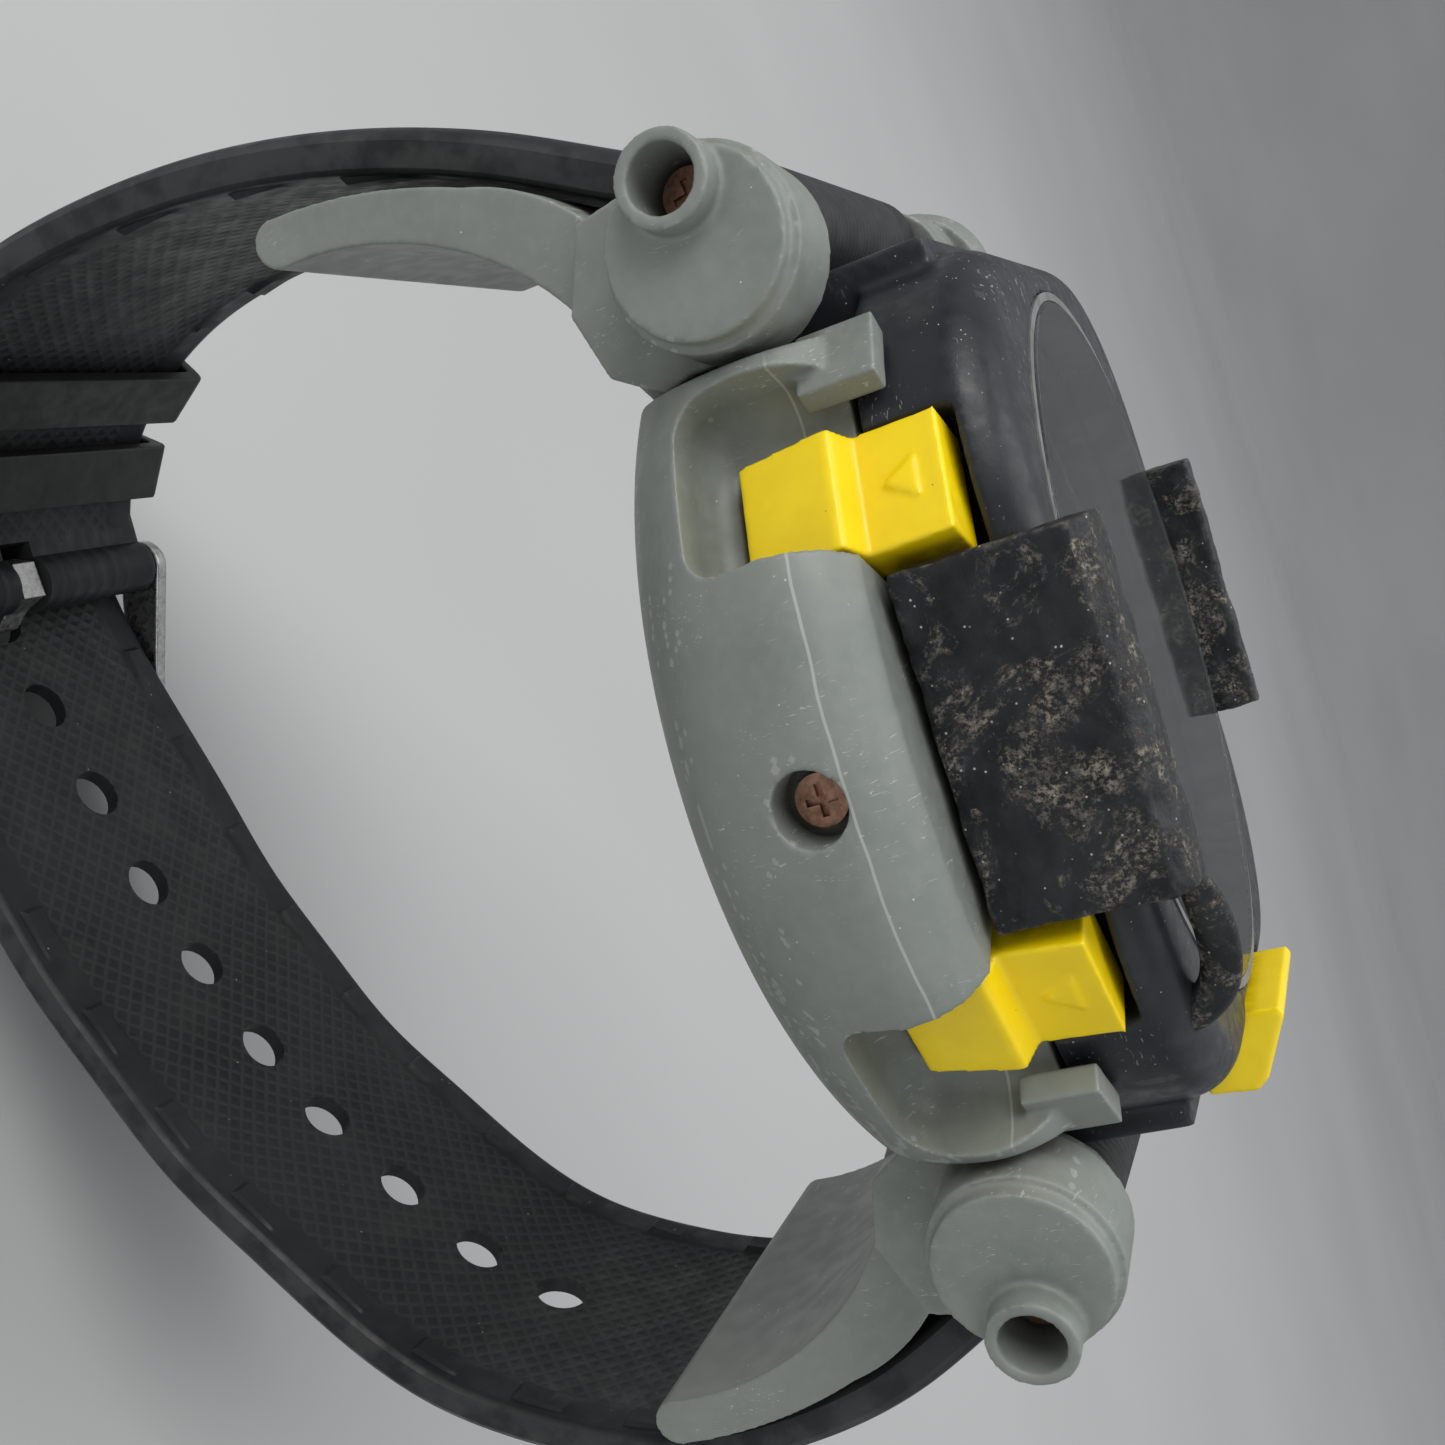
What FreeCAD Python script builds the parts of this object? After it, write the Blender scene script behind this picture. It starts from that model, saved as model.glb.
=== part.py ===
import FreeCAD, Part
import math
import os
import Sketcher

# Wrist dive computer with a closed resin strap, in millimetres.
# +Z is the display's normal, +Y points to 12 o'clock and +X to 3 o'clock.
# The origin is the centre of the flat case back, which rests on the wrist.

os.makedirs("parts", exist_ok=True)
doc = FreeCAD.newDocument("dive_computer")

SIZES = {
    # lens and sealed upper case
    "lens_radius": 16.5, "lens_thick": 2.0, "lens_rise": 0.15, "lens_edge": 0.25, "gasket_width": 0.4,
    "case_half_x": 18.2, "case_half_y": 19.2, "case_corner": 11.0, "case_top": 18.0, "case_low": 12.2,
    "core_radius": 18.3, "core_low": 2.6, "cavity_radius": 15.6, "cavity_top": 14.5,
    "window_radius": 15.2, "top_round": 2.4, "lug_block_half": 10.9, "lug_block_end": 19.9,
    "lug_block_low": 4.4, "lug_block_top": 15.4,
    # grey side covers, turned about Z
    "cover_inner_radius": 18.6, "cover_back_radius": 19.9, "cover_wide_radius": 25.0,
    "cover_top_radius": 23.0, "cover_back_z": 1.2, "cover_wide_z": 8.0, "cover_top_z": 11.9,
    "cover_end_y": 16.8, "cover_screw_z": 8.2, "tab_angle": 43.0, "tab_radius": 22.75,
    "tab_width": 3.2, "tab_deep": 1.3, "tab_top": 13.7,
    # flank buttons, along a radius at button_angle from the X axis
    "button_angle": 28.5, "button_half": 2.6, "button_low": 7.2, "button_top": 15.4,
    "button_gap": 0.35, "button_travel": 0.8, "stem_z": 9.3, "stem_radius": 1.0, "stem_gap": 0.05,
    "spring_wire": 0.3, "spring_radius": 1.45, "spring_floor": 17.2, "cap_inner": 19.4,
    # front button at 6 o'clock
    "front_half": 4.5, "front_stem_radius": 0.6, "front_stem_y": 18.4,
    # rubber guards over the sensor and opposite it
    "guard_half": 7.2, "guard_out": 20.75, "guard_in": 17.3, "guard_top": 20.2,
    # end pieces with caps, bosses and wings
    "cap_radius": 3.8, "cap_rim": 4.15, "cap_core": 3.4, "cap_deep": 4.4, "cap_y": 21.5, "cap_z": 8.6, "cap_inner_x": 11.4, "cap_face_x": 19.2,
    "cap_tilt": 8.0, "boss_radius": 1.95, "boss_bore": 1.4, "boss_tall": 1.4, "boss_offset": 2.3,
    "wing_half": 12.5,
    # strap, pins and buckle
    "pin_radius": 1.0, "pin_gap": 0.05, "pin_y": 23.4, "pin_z": 7.8, "pin_half": 13.2,
    "strap_half": 11.0, "strap_thick": 2.2, "barrel_radius": 2.7, "hole_radius": 1.5, "hole_pitch": 6.35,
    "bar_radius": 0.8, "bar_y": 21.8, "bar_z": -46.4, "bar_barrel": 1.7,
    "frame_inner_x": 11.35, "frame_arm": 1.0, "cross_y": 11.5, "cross_z": -50.5, "cross_radius": 1.0,
    "tongue_half": 0.9, "keeper_long": 3.6, "keeper_wall": 0.9, "keeper_half": 11.3,
    # inner parts
    "back_radius": 18.2, "back_thick": 2.3, "back_bevel": 1.1, "hatch_radius": 13.3, "back_screw_ring": 16.4,
    "battery_radius": 12.25, "battery_thick": 5.0, "board_radius": 13.4, "board_z": 10.3,
    "board_thick": 1.0, "lcd_radius": 14.4, "lcd_z": 13.2, "lcd_thick": 1.2,
    "sensor_radius": 1.6, "sensor_z": 14.3,
}

sheet = doc.addObject("Spreadsheet::Sheet", "Sizes")
for row, (alias, value) in enumerate(SIZES.items(), start=1):
    sheet.set("A%d" % row, alias)
    sheet.set("B%d" % row, str(value))
    sheet.setAlias("B%d" % row, alias)
doc.recompute()

X_AXIS = FreeCAD.Vector(1, 0, 0)
Y_AXIS = FreeCAD.Vector(0, 1, 0)
Z_AXIS = FreeCAD.Vector(0, 0, 1)
NODES = []


def size(alias):
    """A driving dimension's value, read from the sheet."""
    return float(sheet.get(alias))


def value_of(expression):
    """The number that an expression in the sheet's aliases stands for."""
    if isinstance(expression, (int, float)):
        return float(expression)
    return float(sheet.evalExpression(expression.replace("Sizes.", "")))


def bind(item, prop, expression):
    """Binds one property to an expression in the sheet's aliases."""
    if isinstance(expression, (int, float)):
        setattr(item, prop, expression)
    else:
        item.setExpression(prop, expression)


def vec(x, y, z):
    return FreeCAD.Vector(x, y, z)


def node(item, label):
    """Names a finished sub-part; its label names the exported file."""
    item.Label = label
    NODES.append(item)
    return item


# ---- Part primitives and booleans -------------------------------------------------

def box(name, lx, ly, lz, corner, turn=None):
    item = doc.addObject("Part::Box", name)
    bind(item, "Length", lx)
    bind(item, "Width", ly)
    bind(item, "Height", lz)
    item.Placement = FreeCAD.Placement(vec(*corner), turn or FreeCAD.Rotation())
    return item


def cylinder(name, radius, height, start, axis=Z_AXIS):
    item = doc.addObject("Part::Cylinder", name)
    bind(item, "Radius", radius)
    bind(item, "Height", height)
    item.Placement = FreeCAD.Placement(vec(*start), FreeCAD.Rotation(Z_AXIS, axis))
    return item


def ring(name, outer, inner, height, start, axis=Z_AXIS):
    """A flat ring or tube between two radii."""
    return cut(name, cylinder(name + "_outer", outer, height, start, axis),
               [cylinder(name + "_inner", inner, height, start, axis)])


def cut(name, base, tools):
    for number, tool in enumerate(tools):
        step = doc.addObject("Part::Cut", "%s_cut%d" % (name, number))
        step.Base = base
        step.Tool = tool
        base = step
    return base


def fuse(name, shapes):
    item = doc.addObject("Part::MultiFuse", name)
    item.Shapes = shapes
    item.Refine = True
    return item


def group(name, shapes):
    """Separate identical solids kept in one sub-part."""
    item = doc.addObject("Part::Compound", name)
    item.Links = shapes
    return item


def feature(name, shape):
    item = doc.addObject("Part::Feature", name)
    item.Shape = shape
    return item


def prism(name, points, plane, start, length, rounds=0.0):
    """A closed outline of straight runs and arcs, extruded along the axis that the plane leaves out.

    A point is a pair; a triple (middle, end, "arc") is an arc through the middle to the end.
    """
    def place(pair):
        if plane == "YZ":
            return vec(start, pair[0], pair[1])
        if plane == "XZ":
            return vec(pair[0], start, pair[1])
        return vec(pair[0], pair[1], start)

    along = {"YZ": X_AXIS, "XZ": Y_AXIS, "XY": Z_AXIS}[plane]
    edges = []
    here = place(points[0])
    for step in points[1:] + [points[0]]:
        if len(step) == 3:
            edges.append(Part.Arc(here, place(step[0]), place(step[1])).toShape())
            here = place(step[1])
        elif (place(step) - here).Length > 1e-6:
            edges.append(Part.makeLine(here, place(step)))
            here = place(step)
    shape = Part.Face(Part.Wire(edges)).extrude(along * length)
    if rounds:
        shape = shape.makeFillet(rounds, [e for e in shape.Edges if len(e.Vertexes) == 2
                                          and abs(e.tangentAt(e.FirstParameter).dot(along)) > 0.999])
    return feature(name, shape)


# ---- PartDesign bodies with sketches ------------------------------------------------

class Solid:
    """A PartDesign body whose sketches are bound to the sheet."""

    def __init__(self, name):
        self.name = name
        self.count = 0
        self.body = doc.addObject("PartDesign::Body", name)

    def sketch(self, plane="XY_Plane", offset=0.0):
        self.count += 1
        item = self.body.newObject("Sketcher::SketchObject", "%s_sketch%d" % (self.name, self.count))
        origin = [f for f in self.body.Origin.OriginFeatures if f.Role == plane][0]
        item.AttachmentSupport = [(origin, "")]
        item.MapMode = "FlatFace"
        bind(item, "AttachmentOffset.Base.z", offset) if not isinstance(offset, (int, float)) else None
        if isinstance(offset, (int, float)) and offset:
            item.AttachmentOffset = FreeCAD.Placement(vec(0, 0, offset), FreeCAD.Rotation())
        return item

    def circle(self, item, radius, x=0.0, y=0.0):
        index = item.addGeometry(Part.Circle(vec(value_of(x), value_of(y), 0), Z_AXIS, value_of(radius)))
        self.limit(item, "Radius", (index,), radius)
        self.limit(item, "DistanceX", (-1, 1, index, 3), x)
        self.limit(item, "DistanceY", (-1, 1, index, 3), y)

    def limit(self, item, kind, where, expression):
        number = item.addConstraint(Sketcher.Constraint(kind, *where, value_of(expression)))
        if not isinstance(expression, (int, float)):
            item.setExpression("Constraints[%d]" % number, expression)

    def outline(self, item, corners):
        """A closed outline of straight lines whose corners are pairs of expressions."""
        spots = [vec(value_of(a), value_of(b), 0) for a, b in corners]
        first = None
        for k, (a, b) in enumerate(corners):
            index = item.addGeometry(Part.LineSegment(spots[k], spots[(k + 1) % len(spots)]))
            first = index if first is None else first
            self.limit(item, "DistanceX", (-1, 1, index, 1), a)
            self.limit(item, "DistanceY", (-1, 1, index, 1), b)
        for k in range(len(corners)):
            after = first + (k + 1) % len(corners)
            item.addConstraint(Sketcher.Constraint("Coincident", first + k, 2, after, 1))

    def pad(self, item, length, reverse=False, both=False):
        step = self.body.newObject("PartDesign::Pad", "%s_pad%d" % (self.name, self.count))
        step.Profile = item
        bind(step, "Length", length)
        step.Reversed = reverse
        step.Midplane = both
        return self.done(step)

    def pocket(self, item, length, reverse=False, both=False):
        before = self.volume()
        step = self.body.newObject("PartDesign::Pocket", "%s_pocket%d" % (self.name, self.count))
        step.Profile = item
        bind(step, "Length", length)
        step.Reversed = reverse
        step.Midplane = both
        self.done(step)
        if self.volume() > before - 1e-3:
            raise ValueError("%s pocket %d cuts nothing" % (self.name, self.count))
        return step

    def turn(self, item, angle=360.0):
        step = self.body.newObject("PartDesign::Revolution", "%s_turn%d" % (self.name, self.count))
        step.Profile = item
        step.ReferenceAxis = (item, ["V_Axis"])
        step.Angle = angle
        return self.done(step)

    def round(self, size_expression, picker):
        """Fillets the edges that picker accepts."""
        base = self.body.Tip
        names = ["Edge%d" % (k + 1) for k, e in enumerate(base.Shape.Edges) if picker(e)]
        step = self.body.newObject("PartDesign::Fillet", "%s_round%d" % (self.name, len(self.body.Group)))
        step.Base = (base, names)
        bind(step, "Radius", size_expression)
        return self.done(step)

    def bevel(self, size_expression, picker):
        """Chamfers the edges that picker accepts."""
        base = self.body.Tip
        names = ["Edge%d" % (k + 1) for k, e in enumerate(base.Shape.Edges) if picker(e)]
        step = self.body.newObject("PartDesign::Chamfer", "%s_bevel%d" % (self.name, len(self.body.Group)))
        step.Base = (base, names)
        bind(step, "Size", size_expression)
        return self.done(step)

    def done(self, step):
        self.body.Tip = step
        doc.recompute()
        return step

    def volume(self):
        return self.body.Shape.Volume if not self.body.Shape.isNull() else 0.0


def polar(radius, degrees, z=0.0):
    angle = math.radians(degrees)
    return (radius * math.cos(angle), radius * math.sin(angle), z)


def turned(degrees):
    return FreeCAD.Rotation(Z_AXIS, degrees)


BUTTONS = {
    "button_2": size("button_angle"), "button_10": 180 - size("button_angle"),
    "button_8": 180 + size("button_angle"), "button_4": -size("button_angle"),
}


def radial_box(name, inner, outer, low_side, high_side, low, high, degrees):
    """A box whose length lies along the radius at the given angle."""
    turn = turned(degrees)
    corner = turn.multVec(vec(inner, low_side, low))
    return box(name, outer - inner, high_side - low_side, high - low, tuple(corner), turn)


# ---- sealed upper case ----------------------------------------------------------------

def make_upper_case():
    solid = Solid("upper_body")
    core = solid.sketch(offset="Sizes.core_low")
    solid.circle(core, "Sizes.core_radius")
    solid.pad(core, "Sizes.case_low - Sizes.core_low")
    block = solid.sketch(offset="Sizes.case_low")
    hx, hy, corner = size("case_half_x"), size("case_half_y"), size("case_corner")
    lean = corner * (1 - math.sqrt(0.5))
    spots = [(hx, -(hy - corner)), (hx, hy - corner), (hx - lean, hy - lean), (hx - corner, hy)]
    quarter = []
    for sx, sy in ((1, 1), (-1, 1), (-1, -1), (1, -1)):
        arc = Part.Arc(vec(sx * hx, sy * (hy - corner), 0), vec(sx * (hx - lean), sy * (hy - lean), 0),
                       vec(sx * (hx - corner), sy * hy, 0))
        quarter.append(arc)
    for arc in quarter:
        block.addGeometry(arc)
    block.addGeometry(Part.LineSegment(vec(hx, -(hy - corner), 0), vec(*spots[1], 0)))
    block.addGeometry(Part.LineSegment(vec(-hx, -(hy - corner), 0), vec(-hx, hy - corner, 0)))
    block.addGeometry(Part.LineSegment(vec(-(hx - corner), hy, 0), vec(hx - corner, hy, 0)))
    block.addGeometry(Part.LineSegment(vec(-(hx - corner), -hy, 0), vec(hx - corner, -hy, 0)))
    solid.pad(block, "Sizes.case_top - Sizes.case_low")
    top = size("case_top")
    solid.round("Sizes.top_round", lambda e: abs(e.BoundBox.ZMin - top) < 1e-4 and e.BoundBox.ZLength < 1e-4)
    for sign in (1, -1):
        lug = solid.sketch(offset="Sizes.lug_block_low")
        solid.outline(lug, [("-Sizes.lug_block_half", 12.0 * sign), ("Sizes.lug_block_half", 12.0 * sign),
                            ("Sizes.lug_block_half", "%d * Sizes.lug_block_end" % sign),
                            ("-Sizes.lug_block_half", "%d * Sizes.lug_block_end" % sign)])
        solid.pad(lug, "Sizes.lug_block_top - Sizes.lug_block_low")
    seat = solid.sketch(offset="Sizes.case_top")
    solid.circle(seat, "Sizes.lens_radius + Sizes.gasket_width")
    solid.pocket(seat, "Sizes.lens_thick + 0.1")
    window = solid.sketch(offset="Sizes.case_top")
    solid.circle(window, "Sizes.window_radius")
    solid.pocket(window, "Sizes.case_top - Sizes.cavity_top + 0.5")
    cavity = solid.sketch(offset="Sizes.core_low")
    solid.circle(cavity, "Sizes.cavity_radius")
    solid.pocket(cavity, "Sizes.cavity_top - Sizes.core_low", reverse=True)

    tools = []
    for name, angle in BUTTONS.items():
        half = size("button_half") + size("button_gap")
        tools.append(radial_box(name + "_slot", 17.4, 26.0, -half, half, size("case_low") - 1.0, 15.9, angle))
        tools.append(cylinder(name + "_bore", "Sizes.stem_radius + Sizes.stem_gap", 6.0,
                              polar(14.0, angle, size("stem_z")), vec(*polar(1, angle))))
        tools.append(cylinder(name + "_spring_bore", "Sizes.spring_radius + 0.45", 6.0,
                              polar(size("spring_floor"), angle, size("stem_z")), vec(*polar(1, angle))))
    front = size("front_half") + size("button_gap")
    tools.append(box("front_notch", 2 * front, 8.0, 5.0, (-front, -25.2, 14.3)))
    tools.append(cylinder("front_bore", "Sizes.front_stem_radius + Sizes.stem_gap", 4.0,
                          (0, -size("front_stem_y"), 12.6)))
    tools.append(cylinder("sensor_bore", "Sizes.sensor_radius + 0.4", 3.0,
                          (-size("case_half_x") + 0.85, 0, size("sensor_z")), -X_AXIS))
    for number in range(4):
        tools.append(cylinder("back_tap%d" % number, 0.4, 4.0,
                              polar(size("back_screw_ring"), 45 + 90 * number, size("core_low"))))
    for sign in (1, -1):
        tools.append(cylinder("cover_tap%d" % (sign + 1), 0.6, 1.7,
                              (sign * 16.7, 0, size("cover_screw_z")), X_AXIS * sign))
    return node(cut("upper_case", solid.body, tools), "upper_case")


# ---- grey side covers ---------------------------------------------------------------

def make_side_cover(label, sign):
    """One grey side cover: a turned, bulging band with button recesses, a screw well and two end tabs."""
    solid = Solid(label + "_body")
    item = solid.sketch("XZ_Plane")
    inner, back, wide = size("cover_inner_radius"), size("cover_back_radius"), size("cover_wide_radius")
    over, low, mid, high = size("cover_top_radius"), size("cover_back_z"), size("cover_wide_z"), size("cover_top_z")
    low_arc = Part.Arc(vec(back, low, 0), vec(back + 0.72 * (wide - back), low + 0.45 * (mid - low), 0),
                       vec(wide, mid, 0))
    high_arc = Part.Arc(vec(wide, mid, 0), vec(wide - 0.2 * (wide - over), mid + 0.62 * (high - mid), 0),
                        vec(over, high, 0))
    item.addGeometry(Part.LineSegment(vec(inner, low, 0), vec(back, low, 0)))
    item.addGeometry(low_arc)
    item.addGeometry(high_arc)
    item.addGeometry(Part.LineSegment(vec(over, high, 0), vec(inner, high, 0)))
    item.addGeometry(Part.LineSegment(vec(inner, high, 0), vec(inner, low, 0)))
    solid.limit(item, "DistanceX", (-1, 1, 0, 1), "Sizes.cover_inner_radius")
    solid.limit(item, "DistanceY", (-1, 1, 0, 1), "Sizes.cover_back_z")
    solid.turn(item)
    tools = []
    if sign < 0:
        tools.append(box(label + "_far_side", 60, 60, 20, (-12.0, -30, 0)))
    else:
        tools.append(box(label + "_far_side", 60, 60, 20, (-48.0, -30, 0)))
    end = size("cover_end_y")
    tools.append(box(label + "_end_12", 60, 20, 20, (-30, end, 0)))
    tools.append(box(label + "_end_6", 60, 20, 20, (-30, -end - 20, 0)))
    for side in (1, -1):
        angle = side * size("button_angle") if sign > 0 else 180 - side * size("button_angle")
        spin = side * sign
        half = size("button_half") + size("button_gap")
        tools.append(radial_box("%s_slot%d" % (label, side), 17.0, 30.0, -half, half,
                                size("button_low") - 0.5, 15.0, angle))
        scoop = radial_box("%s_scoop%d" % (label, side), 20.9, 30.0, min(-spin * 2.9, spin * 5.2),
                           max(-spin * 2.9, spin * 5.2), 5.4, 15.0, angle)
        soft = doc.addObject("Part::Fillet", "%s_soft%d" % (label, side))
        soft.Base = scoop
        doc.recompute()
        soft.Edges = [(k + 1, 1.6, 1.6) for k, e in enumerate(scoop.Shape.Edges)
                      if min((v.Point - vec(0, 0, v.Z)).Length for v in e.Vertexes) < 24
                      and e.BoundBox.ZMax < 14.9 or (e.BoundBox.ZLength > 5
                      and all((v.Point - vec(0, 0, v.Z)).Length < 24 for v in e.Vertexes))]
        tools.append(soft)
    for side in (1, -1):
        normal = tilted_axis(side, sign)
        face = vec(sign * size("cap_face_x"), side * size("cap_y"), size("cap_z"))
        tools.append(cylinder("%s_cap_room%d" % (label, side), "Sizes.cap_rim + 0.15", 12.0,
                              tuple(face - normal * 6), normal))
    well = cylinder(label + "_well", 1.5, 8.0, (sign * 22.4, 0, size("cover_screw_z")), X_AXIS * sign)
    shank = cylinder(label + "_shank", 0.75, 8.0, (sign * 17.0, 0, size("cover_screw_z")), X_AXIS * sign)
    shell = cut(label + "_shell", solid.body, tools + [well, shank])
    tabs = []
    for side in (1, -1):
        angle = side * size("tab_angle") if sign > 0 else 180 - side * size("tab_angle")
        tabs.append(radial_box("%s_tab%d" % (label, side), size("tab_radius") - size("tab_deep") / 2,
                               size("tab_radius") + size("tab_deep") / 2, -size("tab_width") / 2,
                               size("tab_width") / 2, size("cover_top_z") - 1.5, size("tab_top"), angle))
    return node(fuse(label, [shell] + tabs), label)


def make_cover_screws():
    screws = []
    for sign in (1, -1):
        head = cylinder("cover_head%d" % (sign + 1), 1.05, 0.8, (sign * 22.4, 0, size("cover_screw_z")), X_AXIS * sign)
        shank = cylinder("cover_thread%d" % (sign + 1), 0.6, 5.6, (sign * 16.8, 0, size("cover_screw_z")),
                         X_AXIS * sign)
        slots = [box("cover_slot_a%d" % (sign + 1), 0.5, 1.3, 0.3, (sign * 23.2 - 0.25, -0.65, size("cover_screw_z") - 0.15)),
                 box("cover_slot_b%d" % (sign + 1), 0.5, 0.3, 1.3, (sign * 23.2 - 0.25, -0.15, size("cover_screw_z") - 0.65))]
        screws.append(cut("cover_screw%d" % (sign + 1), fuse("cover_screw_raw%d" % (sign + 1), [head, shank]), slots))
    return node(group("cover_screws", screws), "cover_screws")


# ---- lens, display and electronics ---------------------------------------------------

def make_display():
    top, thick = size("case_top"), size("lens_thick")
    lens = Solid("lens_body")
    item = lens.sketch(offset="Sizes.case_top - Sizes.lens_thick")
    lens.circle(item, "Sizes.lens_radius")
    lens.pad(item, "Sizes.lens_thick + Sizes.lens_rise")
    lens.round("Sizes.lens_edge", lambda e: abs(e.BoundBox.ZMin - top - size("lens_rise")) < 1e-4)
    node(lens.body, "lens")
    low = top - thick
    node(ring("gasket", "Sizes.lens_radius + Sizes.gasket_width", "Sizes.lens_radius", "Sizes.lens_thick + 0.05",
              (0, 0, low)), "lens_gasket")
    node(ring("dial", "Sizes.window_radius - 0.05", "Sizes.window_radius - 2.8", 1.0, (0, 0, low - 1.1)), "dial_ring")

    panel = Solid("lcd_body")
    item = panel.sketch(offset="Sizes.lcd_z")
    panel.circle(item, "Sizes.lcd_radius")
    panel.pad(item, "Sizes.lcd_thick")
    node(panel.body, "lcd_panel")
    node(ring("bracket", "Sizes.cavity_radius - 0.1", "Sizes.lcd_radius + 0.1", 3.0, (0, 0, 11.4)), "lcd_bracket")

    board = Solid("board_body")
    item = board.sketch(offset="Sizes.board_z")
    board.circle(item, "Sizes.board_radius")
    board.pad(item, "Sizes.board_thick")
    item = board.sketch(offset="Sizes.board_z + Sizes.board_thick")
    board.outline(item, [(-4.0, -3.0), (4.0, -3.0), (4.0, 5.0), (-4.0, 5.0)])
    board.pad(item, 0.9)
    item = board.sketch(offset="Sizes.board_z + Sizes.board_thick")
    board.outline(item, [(6.0, -6.0), (9.5, -6.0), (9.5, -1.0), (6.0, -1.0)])
    board.pad(item, 0.7)
    node(board.body, "circuit_board")
    top_of_board = size("board_z") + size("board_thick")
    node(cylinder("buzzer_can", 2.6, 1.6, (-8.4, -6.6, top_of_board)), "buzzer")
    node(group("switches", [radial_box("switch_" + name, 12.0, 13.3, -1.3, 1.3, 8.4, size("board_z"), angle)
                            for name, angle in BUTTONS.items()]), "side_switches")
    node(cylinder("cell", "Sizes.battery_radius", "Sizes.battery_thick", (0, 0, size("core_low"))), "battery")
    cell_top = size("core_low") + size("battery_thick")
    clip = fuse("clip", [box("clip_bar", 22, 4, 0.3, (-11, -2, cell_top)),
                         box("clip_leg", 1.4, 4, size("board_z") - cell_top, (-11, -2, cell_top))])
    node(clip, "battery_clip")


# ---- case back ----------------------------------------------------------------------

def make_back():
    cover = Solid("back_body")
    item = cover.sketch()
    cover.circle(item, "Sizes.back_radius")
    cover.pad(item, "Sizes.back_thick")
    cover.bevel("Sizes.back_bevel", lambda e: e.BoundBox.ZMax < 1e-4)
    item = cover.sketch()
    cover.circle(item, "Sizes.hatch_radius + 0.1")
    cover.pocket(item, "Sizes.back_thick", reverse=True)
    holes, screws = [], []
    for number in range(4):
        spot = polar(size("back_screw_ring"), 45 + 90 * number)
        holes.append(cylinder("back_hole%d" % number, 0.45, 4.0, spot))
        holes.append(cylinder("back_sink%d" % number, 0.68, 0.8, spot))
        head = cylinder("back_head%d" % number, 0.64, 0.7, (spot[0], spot[1], 0.1))
        thread = cylinder("back_thread%d" % number, 0.4, 5.0, (spot[0], spot[1], 0.5))
        slot = box("back_slot%d" % number, 1.4, 0.25, 0.3, (spot[0] - 0.7, spot[1] - 0.125, 0.0))
        screws.append(cut("back_screw%d" % number, fuse("back_screw_raw%d" % number, [head, thread]), [slot]))
    node(cut("back_cover", cover.body, holes), "back_cover")
    node(group("back_screw_set", screws), "back_screws")
    node(ring("back_seal", 17.5, 17.1, "Sizes.core_low - Sizes.back_thick", (0, 0, size("back_thick"))), "back_gasket")

    hatch = Solid("hatch_body")
    item = hatch.sketch()
    hatch.circle(item, "Sizes.hatch_radius")
    hatch.pad(item, 1.9)
    item = hatch.sketch()
    hatch.outline(item, [(-7.0, -0.8), (7.0, -0.8), (7.0, 0.8), (-7.0, 0.8)])
    hatch.pocket(item, 0.9, reverse=True)
    node(hatch.body, "battery_hatch")
    node(ring("hatch_ring", 13.2, 12.4, size("core_low") - 1.9, (0, 0, 1.9)), "hatch_seal")


# ---- guards and pressure sensor ------------------------------------------------------

def make_guard(label, sign, hollow):
    """A rubber guard block that grips the case's shoulder and stands above the lens."""
    hx, top, shoulder = size("case_half_x"), size("case_top"), size("top_round") + 0.05
    out, inside, high = size("guard_out"), size("guard_in"), size("guard_top")
    cx, cz = hx - size("top_round"), top - size("top_round")
    lean = math.acos((inside - cx) / shoulder)
    corner = (sign * (cx + shoulder * math.cos(lean)), cz + shoulder * math.sin(lean))
    middle = (sign * (cx + shoulder * math.cos(lean / 2)), cz + shoulder * math.sin(lean / 2))
    low = size("case_low") + 0.05
    outline = [(sign * (hx + 0.05), low), (sign * (hx + 0.05), cz), (middle, corner, "arc"),
               (sign * inside, high - 0.1), (sign * (inside + 0.6), high), (sign * (out - 0.8), high - 0.2),
               (sign * out, high - 0.9), (sign * out, low)]
    half = size("guard_half")
    block = prism(label + "_block", outline, "XZ", -half, 2 * half)
    tools = []
    if hollow:
        tools.append(cylinder(label + "_hollow", "Sizes.sensor_radius + 0.4", 2.5,
                              (sign * 16.9, 0, size("sensor_z")), X_AXIS * sign))
    near = size("button_half") + size("button_gap")
    for name, angle in BUTTONS.items():
        if math.cos(math.radians(angle)) * sign > 0:
            tools.append(radial_box("%s_%s_side" % (label, name), 16.0, 27.0, -near, near, 11.0, 15.9, angle))
    return node(cut(label, block, tools), label)


def make_sensor():
    hx = size("case_half_x")
    node(cylinder("sensor_can", "Sizes.sensor_radius", 1.75, (-hx + 0.85, 0, size("sensor_z")), -X_AXIS),
         "pressure_sensor")
    node(ring("sensor_ring", "Sizes.sensor_radius + 0.35", "Sizes.sensor_radius", 0.6,
              (-hx + 0.85, 0, size("sensor_z")), -X_AXIS), "sensor_seal")


# ---- buttons --------------------------------------------------------------------------

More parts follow.
